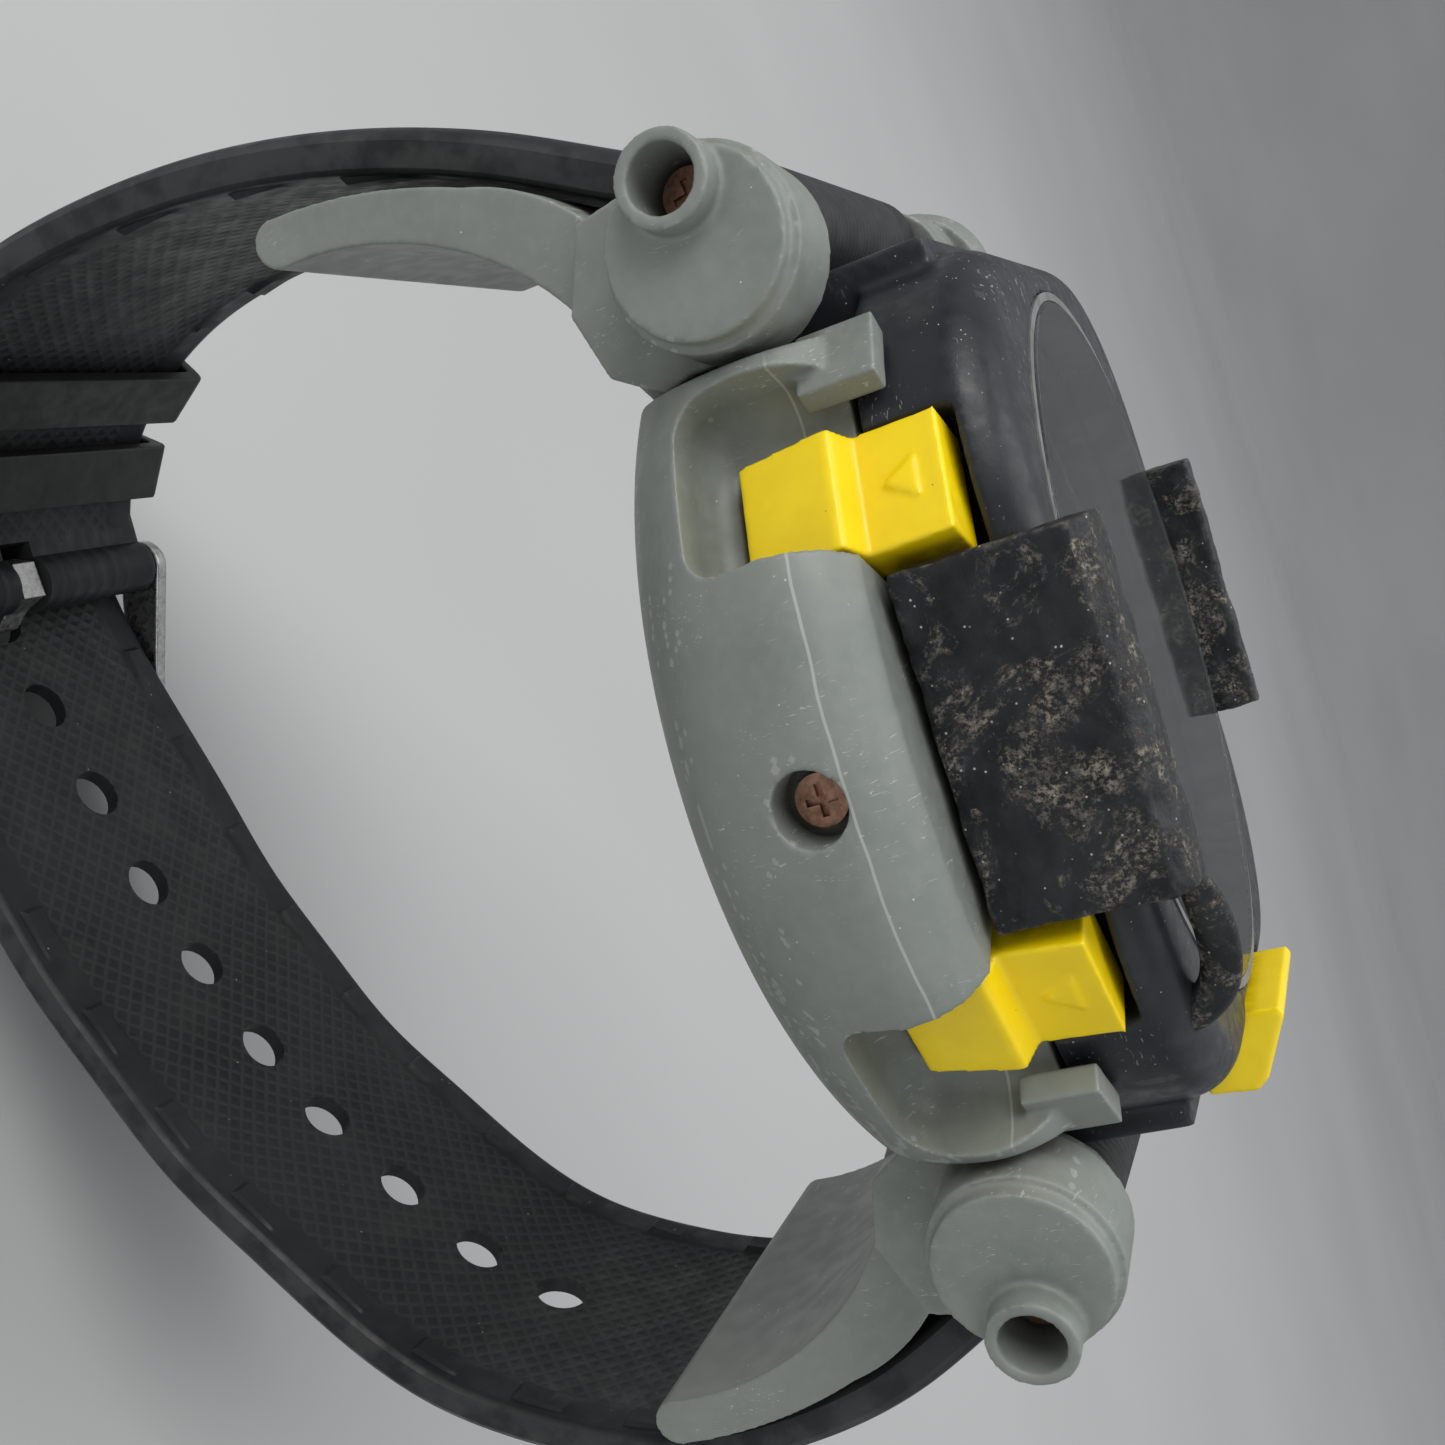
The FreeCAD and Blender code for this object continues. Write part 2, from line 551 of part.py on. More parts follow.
def make_button(name, degrees):
    """A two-level yellow cap on a steel stem with a return spring, built on +X and turned into place."""
    low, high, half = size("button_low"), size("button_top"), size("button_half")
    outline = [(19.4, low), (22.1, low), (22.9, low + 3.9), (22.85, low + 4.2), (21.6, low + 4.7),
               (21.9, high), (18.9, high), (18.9, 12.0), (19.4, 11.5)]
    cap = prism(name + "_block", outline, "XZ", -half, 2 * half)
    arrow = prism(name + "_arrow", [(-0.9, 14.3), (0.9, 14.3), (0.0, 12.9)], "YZ", 21.5, 0.45)
    whole = fuse(name + "_whole", [cap, arrow])
    doc.recompute()
    body = feature(name, whole.Shape.copy())
    body.Placement = FreeCAD.Placement(vec(0, 0, 0), turned(degrees))
    node(body, name)
    z = size("stem_z")
    stem = fuse(name + "_stem", [
        cylinder(name + "_rod", "Sizes.stem_radius", size("cap_inner") - 15.0, polar(15.0, degrees, z),
                 vec(*polar(1, degrees))),
        cylinder(name + "_foot", 1.4, 0.5, polar(14.9, degrees, z), vec(*polar(1, degrees)))])
    node(stem, name + "_stem")
    length = size("cap_inner") - size("spring_floor")
    wire, radius = size("spring_wire"), size("spring_radius")
    turns = 4.0
    helix = Part.makeHelix((length - wire) / turns, length - wire, radius)
    flat = wire / 2
    section = Part.makePolygon([vec(radius + a * flat, 0, b * flat)
                                for a, b in ((-1, -1), (1, -1), (1, 1), (-1, 1), (-1, -1))])
    coil = Part.Wire(helix.Edges).makePipeShell([section], True, True)
    spring = feature(name + "_spring", coil)
    lay = FreeCAD.Rotation(Z_AXIS, vec(*polar(1, degrees)))
    spring.Placement = FreeCAD.Placement(vec(*polar(size("spring_floor") + wire / 2, degrees, z)), lay)
    node(spring, name + "_spring")


def make_front_button():
    half, y = size("front_half"), size("front_stem_y")
    outline = [(-17.5, 15.5), (-17.5, 19.35), (-17.9, 19.5), (-20.8, 18.0), (-21.3, 17.4),
               (-21.15, 15.2), (-20.4, 15.0), (-19.8, 15.5)]
    node(prism("front_block", outline, "YZ", -half, 2 * half), "button_front")
    node(cylinder("front_rod", "Sizes.front_stem_radius", 1.9, (0, -y, 13.6)), "button_front_stem")


# ---- end pieces with wings -------------------------------------------------------------

def wing_outline(side):
    """The neck under the case and the curved wing along the strap's inner side, in the YZ plane."""
    return [(side * y, z) for y, z in ((16.9, 4.1), (16.9, 2.6), (18.4, 1.7))] + [
        ((side * 23.4, -0.9), (side * 26.9, -5.2), "arc"),
        ((side * 28.4, -9.0), (side * 28.9, -13.0), "arc"),
        ((side * 29.9, -14.3), (side * 31.2, -13.2), "arc"),
        ((side * 30.6, -8.4), (side * 28.9, -3.2), "arc"),
        ((side * 27.2, 0.2), (side * 24.9, 2.4), "arc"),
        (side * 22.6, 4.1)]


def tilted_axis(side, sign):
    """The outward normal of a cap's slanted face."""
    tilt = math.radians(size("cap_tilt"))
    return vec(sign * math.cos(tilt), side * math.sin(tilt), 0)


def boss_place(side, sign, height):
    """A point on the boss's axis, at a height over the cap's slanted face."""
    normal = tilted_axis(side, sign)
    along = vec(-sign * side * normal.y, sign * side * normal.x, 0)
    if along.y * side < 0:
        along = along * -1
    base = vec(sign * size("cap_face_x"), side * size("cap_y"), size("cap_z") - 0.1)
    return base + along * size("boss_offset") + normal * height


def make_end_piece(label, side):
    """Two slanted round caps with screw bosses, joined by the neck and the wing."""
    parts, tools = [], []
    half = size("wing_half")
    parts.append(prism(label + "_wing", wing_outline(side), "YZ", -half, 2 * half))
    inner = size("cap_inner_x")
    for sign in (1, -1):
        tag = "%s_%d" % (label, sign + 1)
        normal = tilted_axis(side, sign)
        face = vec(sign * size("cap_face_x"), side * size("cap_y"), size("cap_z"))
        disc = cylinder(tag + "_disc", "Sizes.cap_radius", "Sizes.cap_deep",
                        tuple(face - normal * size("cap_deep")), normal)
        rim = cylinder(tag + "_rim", "Sizes.cap_rim", "Sizes.cap_deep - 0.8",
                       tuple(face - normal * size("cap_deep")), normal)
        core = cylinder(tag + "_core", "Sizes.cap_core", 6.2, (sign * inner, side * 21.9, size("cap_z") - 0.4),
                        X_AXIS * sign)
        lay = FreeCAD.Rotation(Z_AXIS, normal)
        trim = box(tag + "_trim", 30, 30, 12, tuple(face + lay.multVec(vec(-15, -15, 0))), lay)
        parts += [disc, rim]
        parts.append(cut(tag + "_cap", core, [trim]))
        parts.append(cylinder(tag + "_boss", "Sizes.boss_radius", "Sizes.boss_tall + 2.0",
                              tuple(boss_place(side, sign, -2.0)), normal))
        web = [(side * y, z) for y, z in ((17.45, 8.0), (17.3, 5.2), (16.95, 4.0), (18.4, 1.75), (21.4, 0.9),
                                         (24.9, 2.4), (25.5, 6.0), (25.3, 9.0), (21.5, 9.0))]
        low_x = inner if sign > 0 else -inner - 3.4
        parts.append(prism(tag + "_web", web, "YZ", low_x, 3.4))
        tools.append(cylinder(tag + "_bore", "Sizes.boss_bore", 6.0, tuple(boss_place(side, sign, -2.2)), normal))
        tools.append(cylinder(tag + "_thread", 0.7, 6.0, tuple(boss_place(side, sign, -5.6)), normal))
        tools.append(cylinder(tag + "_clear", "Sizes.core_radius + 0.2", 16.0, (0, 0, -2.0)))
        tools.append(cylinder(tag + "_pin_hole", "Sizes.pin_radius", 8.0,
                              (sign * (size("pin_half") - 8.0), side * size("pin_y"), size("pin_z")), X_AXIS * sign))
    return node(cut(label, fuse(label + "_raw", parts), tools), label)


def make_end_screws(label, side):
    screws = []
    for sign in (1, -1):
        tag = "%s_%d" % (label, sign + 1)
        normal = tilted_axis(side, sign)
        head = cylinder(tag + "_head", 1.15, 0.7, tuple(boss_place(side, sign, -2.2)), normal)
        thread = cylinder(tag + "_thread", 0.68, 3.4, tuple(boss_place(side, sign, -5.6)), normal)
        lay = FreeCAD.Rotation(Z_AXIS, normal)
        top = boss_place(side, sign, -1.7)
        slot_a = box(tag + "_slot_a", 1.4, 0.3, 0.5, tuple(top + lay.multVec(vec(-0.7, -0.15, 0))), lay)
        slot_b = box(tag + "_slot_b", 0.3, 1.4, 0.5, tuple(top + lay.multVec(vec(-0.15, -0.7, 0))), lay)
        screws.append(cut(tag + "_screw", fuse(tag + "_raw", [head, thread]), [slot_a, slot_b]))
    return node(group(label + "_set", screws), label)


def make_strap_pin(label, side):
    return node(cylinder(label + "_rod", "Sizes.pin_radius", "2 * Sizes.pin_half",
                         (-size("pin_half"), side * size("pin_y"), size("pin_z")), X_AXIS), label)


# ---- strap ------------------------------------------------------------------------------

# outer line of each strap half in the YZ plane, from the lug to the free end
OUTER_12 = [(26.1, 7.8), (27.6, 4.8), (30.7, -0.7), (34.3, -9.2), (36.1, -16.4), (36.9, -25.1),
            (36.3, -33.0), (33.4, -40.4), (29.4, -45.0), (25.2, -47.4)]
OUTER_6 = [(-26.1, 7.8), (-27.7, 4.8), (-30.9, -0.7), (-33.5, -9.0), (-33.9, -14.8), (-31.8, -22.8),
           (-28.8, -28.6), (-24.2, -33.3), (-19.1, -37.0), (-13.6, -40.7), (-7.4, -43.4), (-1.4, -45.7),
           (5.2, -47.3), (12.6, -49.2), (17.6, -50.3), (21.8, -50.7)]
LAYER_GAP = 0.7


def strap_curve(points):
    curve = Part.BSplineCurve()
    curve.interpolate([vec(0, y, z) for y, z in points])
    return curve


def inner_line(curve, thick, count=40):
    """The strap's inner side: the outer line moved in by the thickness."""
    first, last = curve.FirstParameter, curve.LastParameter
    moved = []
    for k in range(count + 1):
        u = first + (last - first) * k / count
        spot, along = curve.value(u), curve.tangent(u)[0]
        moved.append((spot, vec(0, along.z, -along.y)))
    return moved


def strap_solid(points, side, thick):
    """A strap half: a band of even thickness between its outer and inner lines."""
    outer = strap_curve(points)
    pairs = inner_line(outer, thick)
    inward = 1 if pairs[10][1].dot(vec(0, -side, 0)) > 0 else -1
    spots = [spot + away * (inward * thick) for spot, away in pairs]
    inner = Part.BSplineCurve()
    inner.interpolate(spots[::4] if spots[-1] in spots[::4] else spots[::4] + [spots[-1]])
    ends = [Part.makeLine(outer.value(outer.LastParameter), spots[-1]), Part.makeLine(spots[0], outer.value(outer.FirstParameter))]
    wire = Part.Wire([outer.toShape(), ends[0], inner.toShape(), ends[1]])
    half = size("strap_half")
    band = Part.Face(wire).extrude(X_AXIS * (2 * half))
    band.translate(X_AXIS * -half)
    return band, outer, inward


def x_rod(radius, y, z, half, inner=0.0):
    rod = Part.makeCylinder(radius, 2 * half, vec(-half, y, z), X_AXIS)
    if inner:
        rod = rod.cut(Part.makeCylinder(inner, 2 * half, vec(-half, y, z), X_AXIS))
    return rod


def outward_step(curve, u, distance):
    """A point at a distance outside a strap line, and the line's direction there."""
    spot, along = curve.value(u), curve.tangent(u)[0]
    away = vec(0, along.z, -along.y)
    if away.dot(spot - vec(0, 0, -18)) < 0:
        away = away * -1
    return spot + away * distance, away, along


def tail_points():
    """The free end of the holed half, which lies over the buckle half."""
    curve = strap_curve(OUTER_12)
    length = curve.length()
    found = []
    for back in (1.5, 7.0, 12.5, 18.0):
        u = curve.parameterAtDistance(length - back, curve.FirstParameter)
        spot = outward_step(curve, u, LAYER_GAP + size("strap_thick"))[0]
        found.append((spot.y, spot.z))
    return found


def make_strap_12():
    thick, half = size("strap_thick"), size("strap_half")
    band, outer, inward = strap_solid(OUTER_12, 1, thick)
    lug = x_rod(size("barrel_radius"), size("pin_y"), size("pin_z"), half)
    end = x_rod(size("bar_barrel"), size("bar_y"), size("bar_z"), half)
    bridge = Part.makeBox(2 * half, 3.8, 2.1)
    bridge.Placement = FreeCAD.Placement(vec(-half, size("bar_y") + 0.1, size("bar_z") - 1.3),
                                         FreeCAD.Rotation(X_AXIS, 5))
    shape = band.fuse([lug, end, bridge]).removeSplitter()
    shape = shape.cut(x_rod(size("pin_radius") + size("pin_gap"), size("pin_y"), size("pin_z"), half))
    shape = shape.cut(x_rod(size("bar_radius") + size("pin_gap"), size("bar_y"), size("bar_z"), half))
    gap = size("tongue_half") + 0.35
    shape = shape.cut(Part.makeBox(2 * gap, 5.4, 8.0, vec(-gap, size("bar_y") - 3.0, size("bar_z") - 4.0)))
    return node(feature("strap_12", shape), "strap_12")


def make_strap_6():
    thick, half = size("strap_thick"), size("strap_half")
    band, outer, inward = strap_solid(OUTER_6 + tail_points(), -1, thick)
    lug = x_rod(size("barrel_radius"), -size("pin_y"), size("pin_z"), half)
    shape = band.fuse(lug).removeSplitter()
    shape = shape.cut(x_rod(size("pin_radius") + size("pin_gap"), -size("pin_y"), size("pin_z"), half))
    # holes a pitch apart along the band, each square to it; the tongue stands in a longer one
    length = outer.length()
    buckled = outer.parameter(vec(0, size("bar_y") - 1.75, -50.6))
    start = outer.length(outer.FirstParameter, buckled)
    for number in range(-2, 10):
        run = start - number * size("hole_pitch")
        if run > length - 4.0 or run < 16.0:
            continue
        u = outer.parameterAtDistance(run, outer.FirstParameter)
        spot, along = outer.value(u), outer.tangent(u)[0]
        away = vec(0, along.z, -along.y)
        drill = Part.makeCylinder(size("hole_radius"), 4 * thick, spot - away * (2 * thick), away)
        if number == 0:
            stretch = along * 0.3
            drill = drill.fuse([Part.makeCylinder(1.6, 4 * thick, spot - away * (2 * thick) + stretch * k, away)
                                for k in (-1, 0, 1)])
        shape = shape.cut(drill)
    return node(feature("strap_6", shape), "strap_6")


# ---- buckle and keepers --------------------------------------------------------------------

def hull_of_rods(big, small, low_x, width):
    """A flat arm whose outline is the hull of two circles, each (y, z, radius)."""
    (y1, z1, r1), (y2, z2, r2) = big, small
    gap = math.hypot(y2 - y1, z2 - z1)
    lean = math.acos((r1 - r2) / gap)
    base = math.atan2(z2 - z1, y2 - y1)
    spots = []
    for (y, z, r) in (big, small):
        for turn in (lean, -lean):
            spots.append(vec(low_x, y + r * math.cos(base + turn), z + r * math.sin(base + turn)))
    plate = Part.Face(Part.makePolygon([spots[0], spots[2], spots[3], spots[1], spots[0]])).extrude(X_AXIS * width)
    ends = [Part.makeCylinder(r, width, vec(low_x, y, z), X_AXIS) for y, z, r in (big, small)]
    return plate.fuse(ends)


def make_buckle():
    y, z, inner, arm = size("bar_y"), size("bar_z"), size("frame_inner_x"), size("frame_arm")
    node(cylinder("bar_rod", "Sizes.bar_radius", "2 * (Sizes.frame_inner_x + Sizes.frame_arm)",
                  (-inner - arm, y, z), X_AXIS), "buckle_bar")
    cross = (size("cross_y"), size("cross_z"), size("cross_radius"))
    arms = [hull_of_rods((y, z, 1.6), cross, low, arm) for low in (inner, -inner - arm)]
    rod = x_rod(cross[2], cross[0], cross[1], inner + arm)
    frame = rod.fuse(arms).removeSplitter()
    frame = frame.cut(x_rod(size("bar_radius") + size("pin_gap"), y, z, inner + arm))
    node(feature("buckle_frame", frame), "buckle_frame")

    half = size("tongue_half")
    outline = [(y + 1.6, z), (y + 0.8, z - 1.5), (y - 1.1, z - 2.6), (y - 1.1, z - 5.9), (y - 1.9, z - 6.5),
               (9.9, -53.1), (9.5, -52.6), (10.0, -52.1), (y - 2.6, z - 5.3), (y - 2.4, z - 4.7),
               (y - 2.4, z - 1.8), (y - 1.6, z - 0.6), (y - 1.1, z + 1.2), (y + 1.1, z + 1.2)]
    tongue = prism("tongue_blade", outline, "YZ", -half, 2 * half)
    doc.recompute()
    shape = tongue.Shape.cut(x_rod(size("bar_radius") + size("pin_gap"), y, z, half))
    node(feature("buckle_tongue", shape), "buckle_tongue")


def make_keeper(label, back):
    """A rubber loop around both strap layers, at a distance back from the buckle half's end."""
    curve = strap_curve(OUTER_12)
    u = curve.parameterAtDistance(curve.length() - back, curve.FirstParameter)
    centre, away, along = outward_step(curve, u, LAYER_GAP / 2)
    y, z = centre.y, centre.z
    lean = math.degrees(math.atan2(-along.z, -along.y))
    opening = 2 * size("strap_thick") + LAYER_GAP + 0.75
    half, wall, long = size("keeper_half"), size("keeper_wall"), size("keeper_long")
    outer = Part.makeBox(2 * (half + wall), long, opening + 2 * wall,
                         vec(-half - wall, -long / 2, -opening / 2 - wall))
    outer = outer.makeFillet(0.8, [e for e in outer.Edges if abs(e.tangentAt(e.FirstParameter).y) > 0.99])
    inner = Part.makeBox(2 * half, long + 2, opening, vec(-half, -long / 2 - 1, -opening / 2))
    item = feature(label, outer.cut(inner))
    item.Placement = FreeCAD.Placement(vec(0, y, z), FreeCAD.Rotation(X_AXIS, lean))
    return node(item, label)


make_upper_case()
make_side_cover("side_cover_9", -1)
make_side_cover("side_cover_3", 1)
make_cover_screws()
make_display()
make_back()
make_guard("guard_9", -1, True)
make_guard("guard_3", 1, False)
make_sensor()
for button, angle in BUTTONS.items():
    make_button(button, angle)
make_front_button()
make_end_piece("end_piece_12", 1)
make_end_piece("end_piece_6", -1)
make_end_screws("end_screws_12", 1)
make_end_screws("end_screws_6", -1)
make_strap_pin("strap_pin_12", 1)
make_strap_pin("strap_pin_6", -1)
make_strap_12()
make_strap_6()
make_buckle()
make_keeper("keeper_fixed", 4.6)
make_keeper("keeper_loose", 11.2)

doc.recompute()
for item in doc.Objects:
    if "Invalid" in item.State or "Error" in item.State:
        raise ValueError("%s failed: %s" % (item.Label, item.State))
for item in NODES:
    shape = item.Shape
    if shape.isNull() or not shape.isValid() or not shape.Solids:
        raise ValueError("%s has no valid solid" % item.Label)
    shape.exportStep("parts/%s.step" % item.Label)
    print("%-20s solids %d volume %8.1f" % (item.Label, len(shape.Solids), shape.Volume))
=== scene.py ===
import math

import bmesh
import bpy
import numpy as np
from mathutils import Matrix, Vector


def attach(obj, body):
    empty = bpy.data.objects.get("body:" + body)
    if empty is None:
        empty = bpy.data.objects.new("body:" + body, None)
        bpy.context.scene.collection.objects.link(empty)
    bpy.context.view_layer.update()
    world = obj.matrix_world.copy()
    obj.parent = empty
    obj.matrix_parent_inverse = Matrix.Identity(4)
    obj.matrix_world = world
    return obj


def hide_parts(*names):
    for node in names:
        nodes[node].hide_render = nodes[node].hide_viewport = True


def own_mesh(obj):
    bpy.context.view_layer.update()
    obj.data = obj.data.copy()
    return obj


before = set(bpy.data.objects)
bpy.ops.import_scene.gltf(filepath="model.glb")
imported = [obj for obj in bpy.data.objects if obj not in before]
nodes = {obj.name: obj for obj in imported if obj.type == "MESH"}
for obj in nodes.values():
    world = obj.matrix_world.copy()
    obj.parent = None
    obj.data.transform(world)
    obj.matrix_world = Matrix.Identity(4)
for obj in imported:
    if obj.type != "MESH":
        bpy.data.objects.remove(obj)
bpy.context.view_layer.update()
MM = 0.001

# the flank buttons and the directions in which they face, in degrees from +X
BUTTONS = {"button_2": 28.5, "button_10": 151.5, "button_8": 208.5, "button_4": -28.5}


# ---- materials ------------------------------------------------------------------------

class Paint:
    """A node material. Its patterns are laid out in millimetres of the piece's own space."""

    def __init__(self, name, rough, metal=0.0, ior=1.5):
        self.mat = bpy.data.materials.new(name)
        self.mat.use_nodes = True
        self.tree = self.mat.node_tree
        self.tree.nodes.clear()
        out = self.add("ShaderNodeOutputMaterial")
        self.shader = self.add("ShaderNodeBsdfPrincipled")
        self.tree.links.new(self.shader.outputs[0], out.inputs[0])
        self.out = out
        self.shader.inputs["Metallic"].default_value = metal
        self.shader.inputs["IOR"].default_value = ior
        self.put(self.shader.inputs["Roughness"], rough)
        coord = self.add("ShaderNodeTexCoord")
        scale = self.add("ShaderNodeVectorMath")
        scale.operation = "SCALE"
        scale.inputs["Scale"].default_value = 1.0 / MM
        self.tree.links.new(coord.outputs["Object"], scale.inputs[0])
        self.place = scale.outputs[0]

    def add(self, kind):
        return self.tree.nodes.new(kind)

    def put(self, socket, value):
        if isinstance(value, bpy.types.NodeSocket):
            self.tree.links.new(value, socket)
        elif isinstance(value, (tuple, list)) and len(value) == 3 and socket.type == "RGBA":
            socket.default_value = (*value, 1.0)
        else:
            socket.default_value = value

    def noise(self, scale, detail=4.0, rough=0.55, twist=0.0, at=None):
        item = self.add("ShaderNodeTexNoise")
        self.put(item.inputs["Vector"], at or self.place)
        item.inputs["Scale"].default_value = scale
        item.inputs["Detail"].default_value = detail
        item.inputs["Roughness"].default_value = rough
        item.inputs["Distortion"].default_value = twist
        return item.outputs[0]

    def cells(self, scale, feature="F1"):
        item = self.add("ShaderNodeTexVoronoi")
        item.feature = feature
        self.put(item.inputs["Vector"], self.place)
        item.inputs["Scale"].default_value = scale
        return item.outputs["Distance"]

    def stretch(self, factors, turn=(0.0, 0.0, 0.0)):
        item = self.add("ShaderNodeMapping")
        self.put(item.inputs["Vector"], self.place)
        item.inputs["Scale"].default_value = factors
        item.inputs["Rotation"].default_value = turn
        return item.outputs[0]

    def band(self, fac, low, high, start=0.0, end=1.0):
        """Runs from start to end as fac goes from low to high."""
        item = self.add("ShaderNodeMapRange")
        item.interpolation_type = "SMOOTHSTEP"
        self.put(item.inputs["Value"], fac)
        for number, value in enumerate((low, high, start, end), start=1):
            item.inputs[number].default_value = value
        return item.outputs[0]

    def maths(self, kind, a, b=0.0):
        item = self.add("ShaderNodeMath")
        item.operation = kind
        self.put(item.inputs[0], a)
        self.put(item.inputs[1], b)
        return item.outputs[0]

    def mix(self, fac, a, b):
        item = self.add("ShaderNodeMix")
        item.data_type = "RGBA"
        self.put(item.inputs[0], fac)
        self.put(item.inputs[6], a)
        self.put(item.inputs[7], b)
        return item.outputs[2]

    def axis(self, letter):
        item = self.add("ShaderNodeSeparateXYZ")
        self.put(item.inputs[0], self.place)
        return item.outputs["XYZ".index(letter)]

    def value(self, name):
        """A number stored on the mesh's points."""
        item = self.add("ShaderNodeAttribute")
        item.attribute_name = name
        return item.outputs["Fac"]

    def edges(self, low, high):
        """1 on convex edges, 0 elsewhere."""
        item = self.add("ShaderNodeNewGeometry")
        return self.band(item.outputs["Pointiness"], low, high)

    def corners(self, distance):
        """1 in corners and crevices, where shade falls, 0 in the open: an occlusion mask used to paint
        shade.
        """
        item = self.add("ShaderNodeAmbientOcclusion")
        item.samples = 6
        item.only_local = False
        item.inputs["Distance"].default_value = distance * MM
        return self.band(item.outputs["AO"], 0.25, 0.85, 1.0, 0.0)

    def finish(self, colour, rough=None, height=None, strength=0.3, distance=0.05):
        self.put(self.shader.inputs["Base Color"], colour)
        if rough is not None:
            self.put(self.shader.inputs["Roughness"], rough)
        if height is not None:
            item = self.add("ShaderNodeBump")
            item.inputs["Strength"].default_value = strength
            item.inputs["Distance"].default_value = distance * MM
            self.put(item.inputs["Height"], height)
            self.tree.links.new(item.outputs[0], self.shader.inputs["Normal"])
        return self.mat


def radius_of(p):
    x, y = p.axis("X"), p.axis("Y")
    return p.maths("SQRT", p.maths("ADD", p.maths("MULTIPLY", x, x), p.maths("MULTIPLY", y, y)))


def stripe(p, fac, low, high, soft=0.08):
    """1 where fac lies between low and high."""
    return p.maths("MULTIPLY", p.band(fac, low - soft, low), p.band(fac, high, high + soft, 1.0, 0.0))


def grey_plastic():
    p = Paint("grey_moulded", 0.5)
    tone = p.mix(p.band(p.noise(0.12, 3), 0.3, 0.7), (0.175, 0.196, 0.18), (0.222, 0.242, 0.222))
    tone = p.mix(p.band(p.noise(1.6, 5), 0.35, 0.75, 0.0, 0.35), tone, (0.26, 0.28, 0.255))
    # painted shade with brown grime: ambient occlusion darkens corners and crevices towards brown in noisy
    # patches, partly real grime and partly painted shade
    shade_and_grime = p.maths("MULTIPLY", p.corners(1.6), p.band(p.noise(0.5, 4), 0.3, 0.62))
    tone = p.mix(p.maths("MULTIPLY", shade_and_grime, 0.7), tone, (0.085, 0.072, 0.05))
    scratch = p.noise(0.9, 2, 0.4, 1.5, p.stretch((1.0, 9.0, 2.2), (0.4, 0.2, 0.9)))
    marks = p.band(scratch, 0.67, 0.71)
    marks = p.maths("MULTIPLY", marks, p.band(p.noise(0.22, 2), 0.48, 0.6))
    tone = p.mix(p.maths("MULTIPLY", marks, 0.5), tone, (0.52, 0.55, 0.51))
    tone = p.mix(p.maths("MULTIPLY", p.edges(0.53, 0.6), 0.35), tone, (0.46, 0.49, 0.45))
    specks = p.band(p.cells(1.7), 0.05, 0.085, 1.0, 0.0)
    specks = p.maths("MULTIPLY", specks, p.band(p.noise(0.3, 2), 0.55, 0.65))
    tone = p.mix(specks, tone, (0.55, 0.56, 0.5))
    seam = stripe(p, p.maths("ADD", p.axis("Z"), p.maths("MULTIPLY", p.noise(0.3, 1), 0.3)), 9.9, 9.96, 0.05)
    seam = p.maths("MULTIPLY", seam, p.band(p.maths("ABSOLUTE", p.axis("Y")), 15.5, 17.0, 1.0, 0.0))
    tone = p.mix(p.maths("MULTIPLY", seam, 0.5), tone, (0.5, 0.52, 0.5))
    rough = p.band(p.noise(0.8, 4), 0.3, 0.7, 0.4, 0.56)
    height = p.maths("ADD", p.maths("MULTIPLY", p.noise(9.0, 3), 0.4), p.maths("MULTIPLY", marks, 0.6))
    height = p.maths("ADD", height, p.maths("MULTIPLY", seam, 1.5))
    return p.finish(tone, rough, height, 0.22, 0.03)


def yellow_plastic():
    p = Paint("yellow_moulded", 0.4)
    tone = p.mix(p.band(p.noise(0.35, 3), 0.3, 0.7), (0.93, 0.66, 0.0), (1.0, 0.74, 0.0))
    # painted shade with grime: ambient occlusion darkens the corners and crevices to a dark brown in noisy
    # patches, partly painted shade and partly grime
    shade_and_grime = p.maths("MULTIPLY", p.corners(0.7), p.band(p.noise(1.1, 4), 0.35, 0.6))
    tone = p.mix(p.maths("MULTIPLY", shade_and_grime, 0.55), tone, (0.25, 0.16, 0.01))
    dots = p.band(p.cells(1.3), 0.04, 0.07, 1.0, 0.0)
    dots = p.maths("MULTIPLY", dots, p.band(p.noise(0.45, 2), 0.56, 0.64))
    tone = p.mix(p.maths("MULTIPLY", dots, 0.7), tone, (0.12, 0.08, 0.01))
    return p.finish(tone, p.band(p.noise(1.5, 4), 0.3, 0.7, 0.3, 0.45), p.noise(2.2, 4), 0.12, 0.05)


def bezel_plastic():
    p = Paint("bezel_moulded", 0.4, ior=1.42)
    tone = p.mix(p.band(p.noise(0.2, 3), 0.3, 0.7), (0.010, 0.0115, 0.015), (0.020, 0.022, 0.0275))
    haze = p.maths("MULTIPLY", p.band(p.noise(0.6, 5, 0.7), 0.5, 0.75), 0.16)
    tone = p.mix(haze, tone, (0.07, 0.07, 0.07))
    field = p.band(p.noise(0.13, 3), 0.36, 0.56)
    dust = p.band(p.cells(2.9), 0.07, 0.13, 1.0, 0.0)
    dust = p.maths("MULTIPLY", dust, p.maths("MULTIPLY", p.band(p.noise(1.3, 2), 0.5, 0.58), field))
    tone = p.mix(dust, tone, (0.5, 0.48, 0.43))
    line = p.noise(0.7, 1, 0.3, 2.5, p.stretch((3.0, 1.0, 7.0), (0.9, 0.3, 0.2)))
    line = p.maths("MULTIPLY", p.band(line, 0.69, 0.72), p.band(p.noise(0.25, 2), 0.5, 0.6))
    tone = p.mix(p.maths("MULTIPLY", line, 0.6), tone, (0.3, 0.3, 0.3))
    tone = p.mix(p.maths("MULTIPLY", p.edges(0.52, 0.58), 0.25), tone, (0.11, 0.115, 0.12))
    rough = p.band(p.noise(0.9, 4), 0.3, 0.7, 0.3, 0.5)
    return p.finish(tone, rough, p.maths("ADD", p.noise(6.0, 3), p.maths("MULTIPLY", dust, 0.8)), 0.18, 0.04)


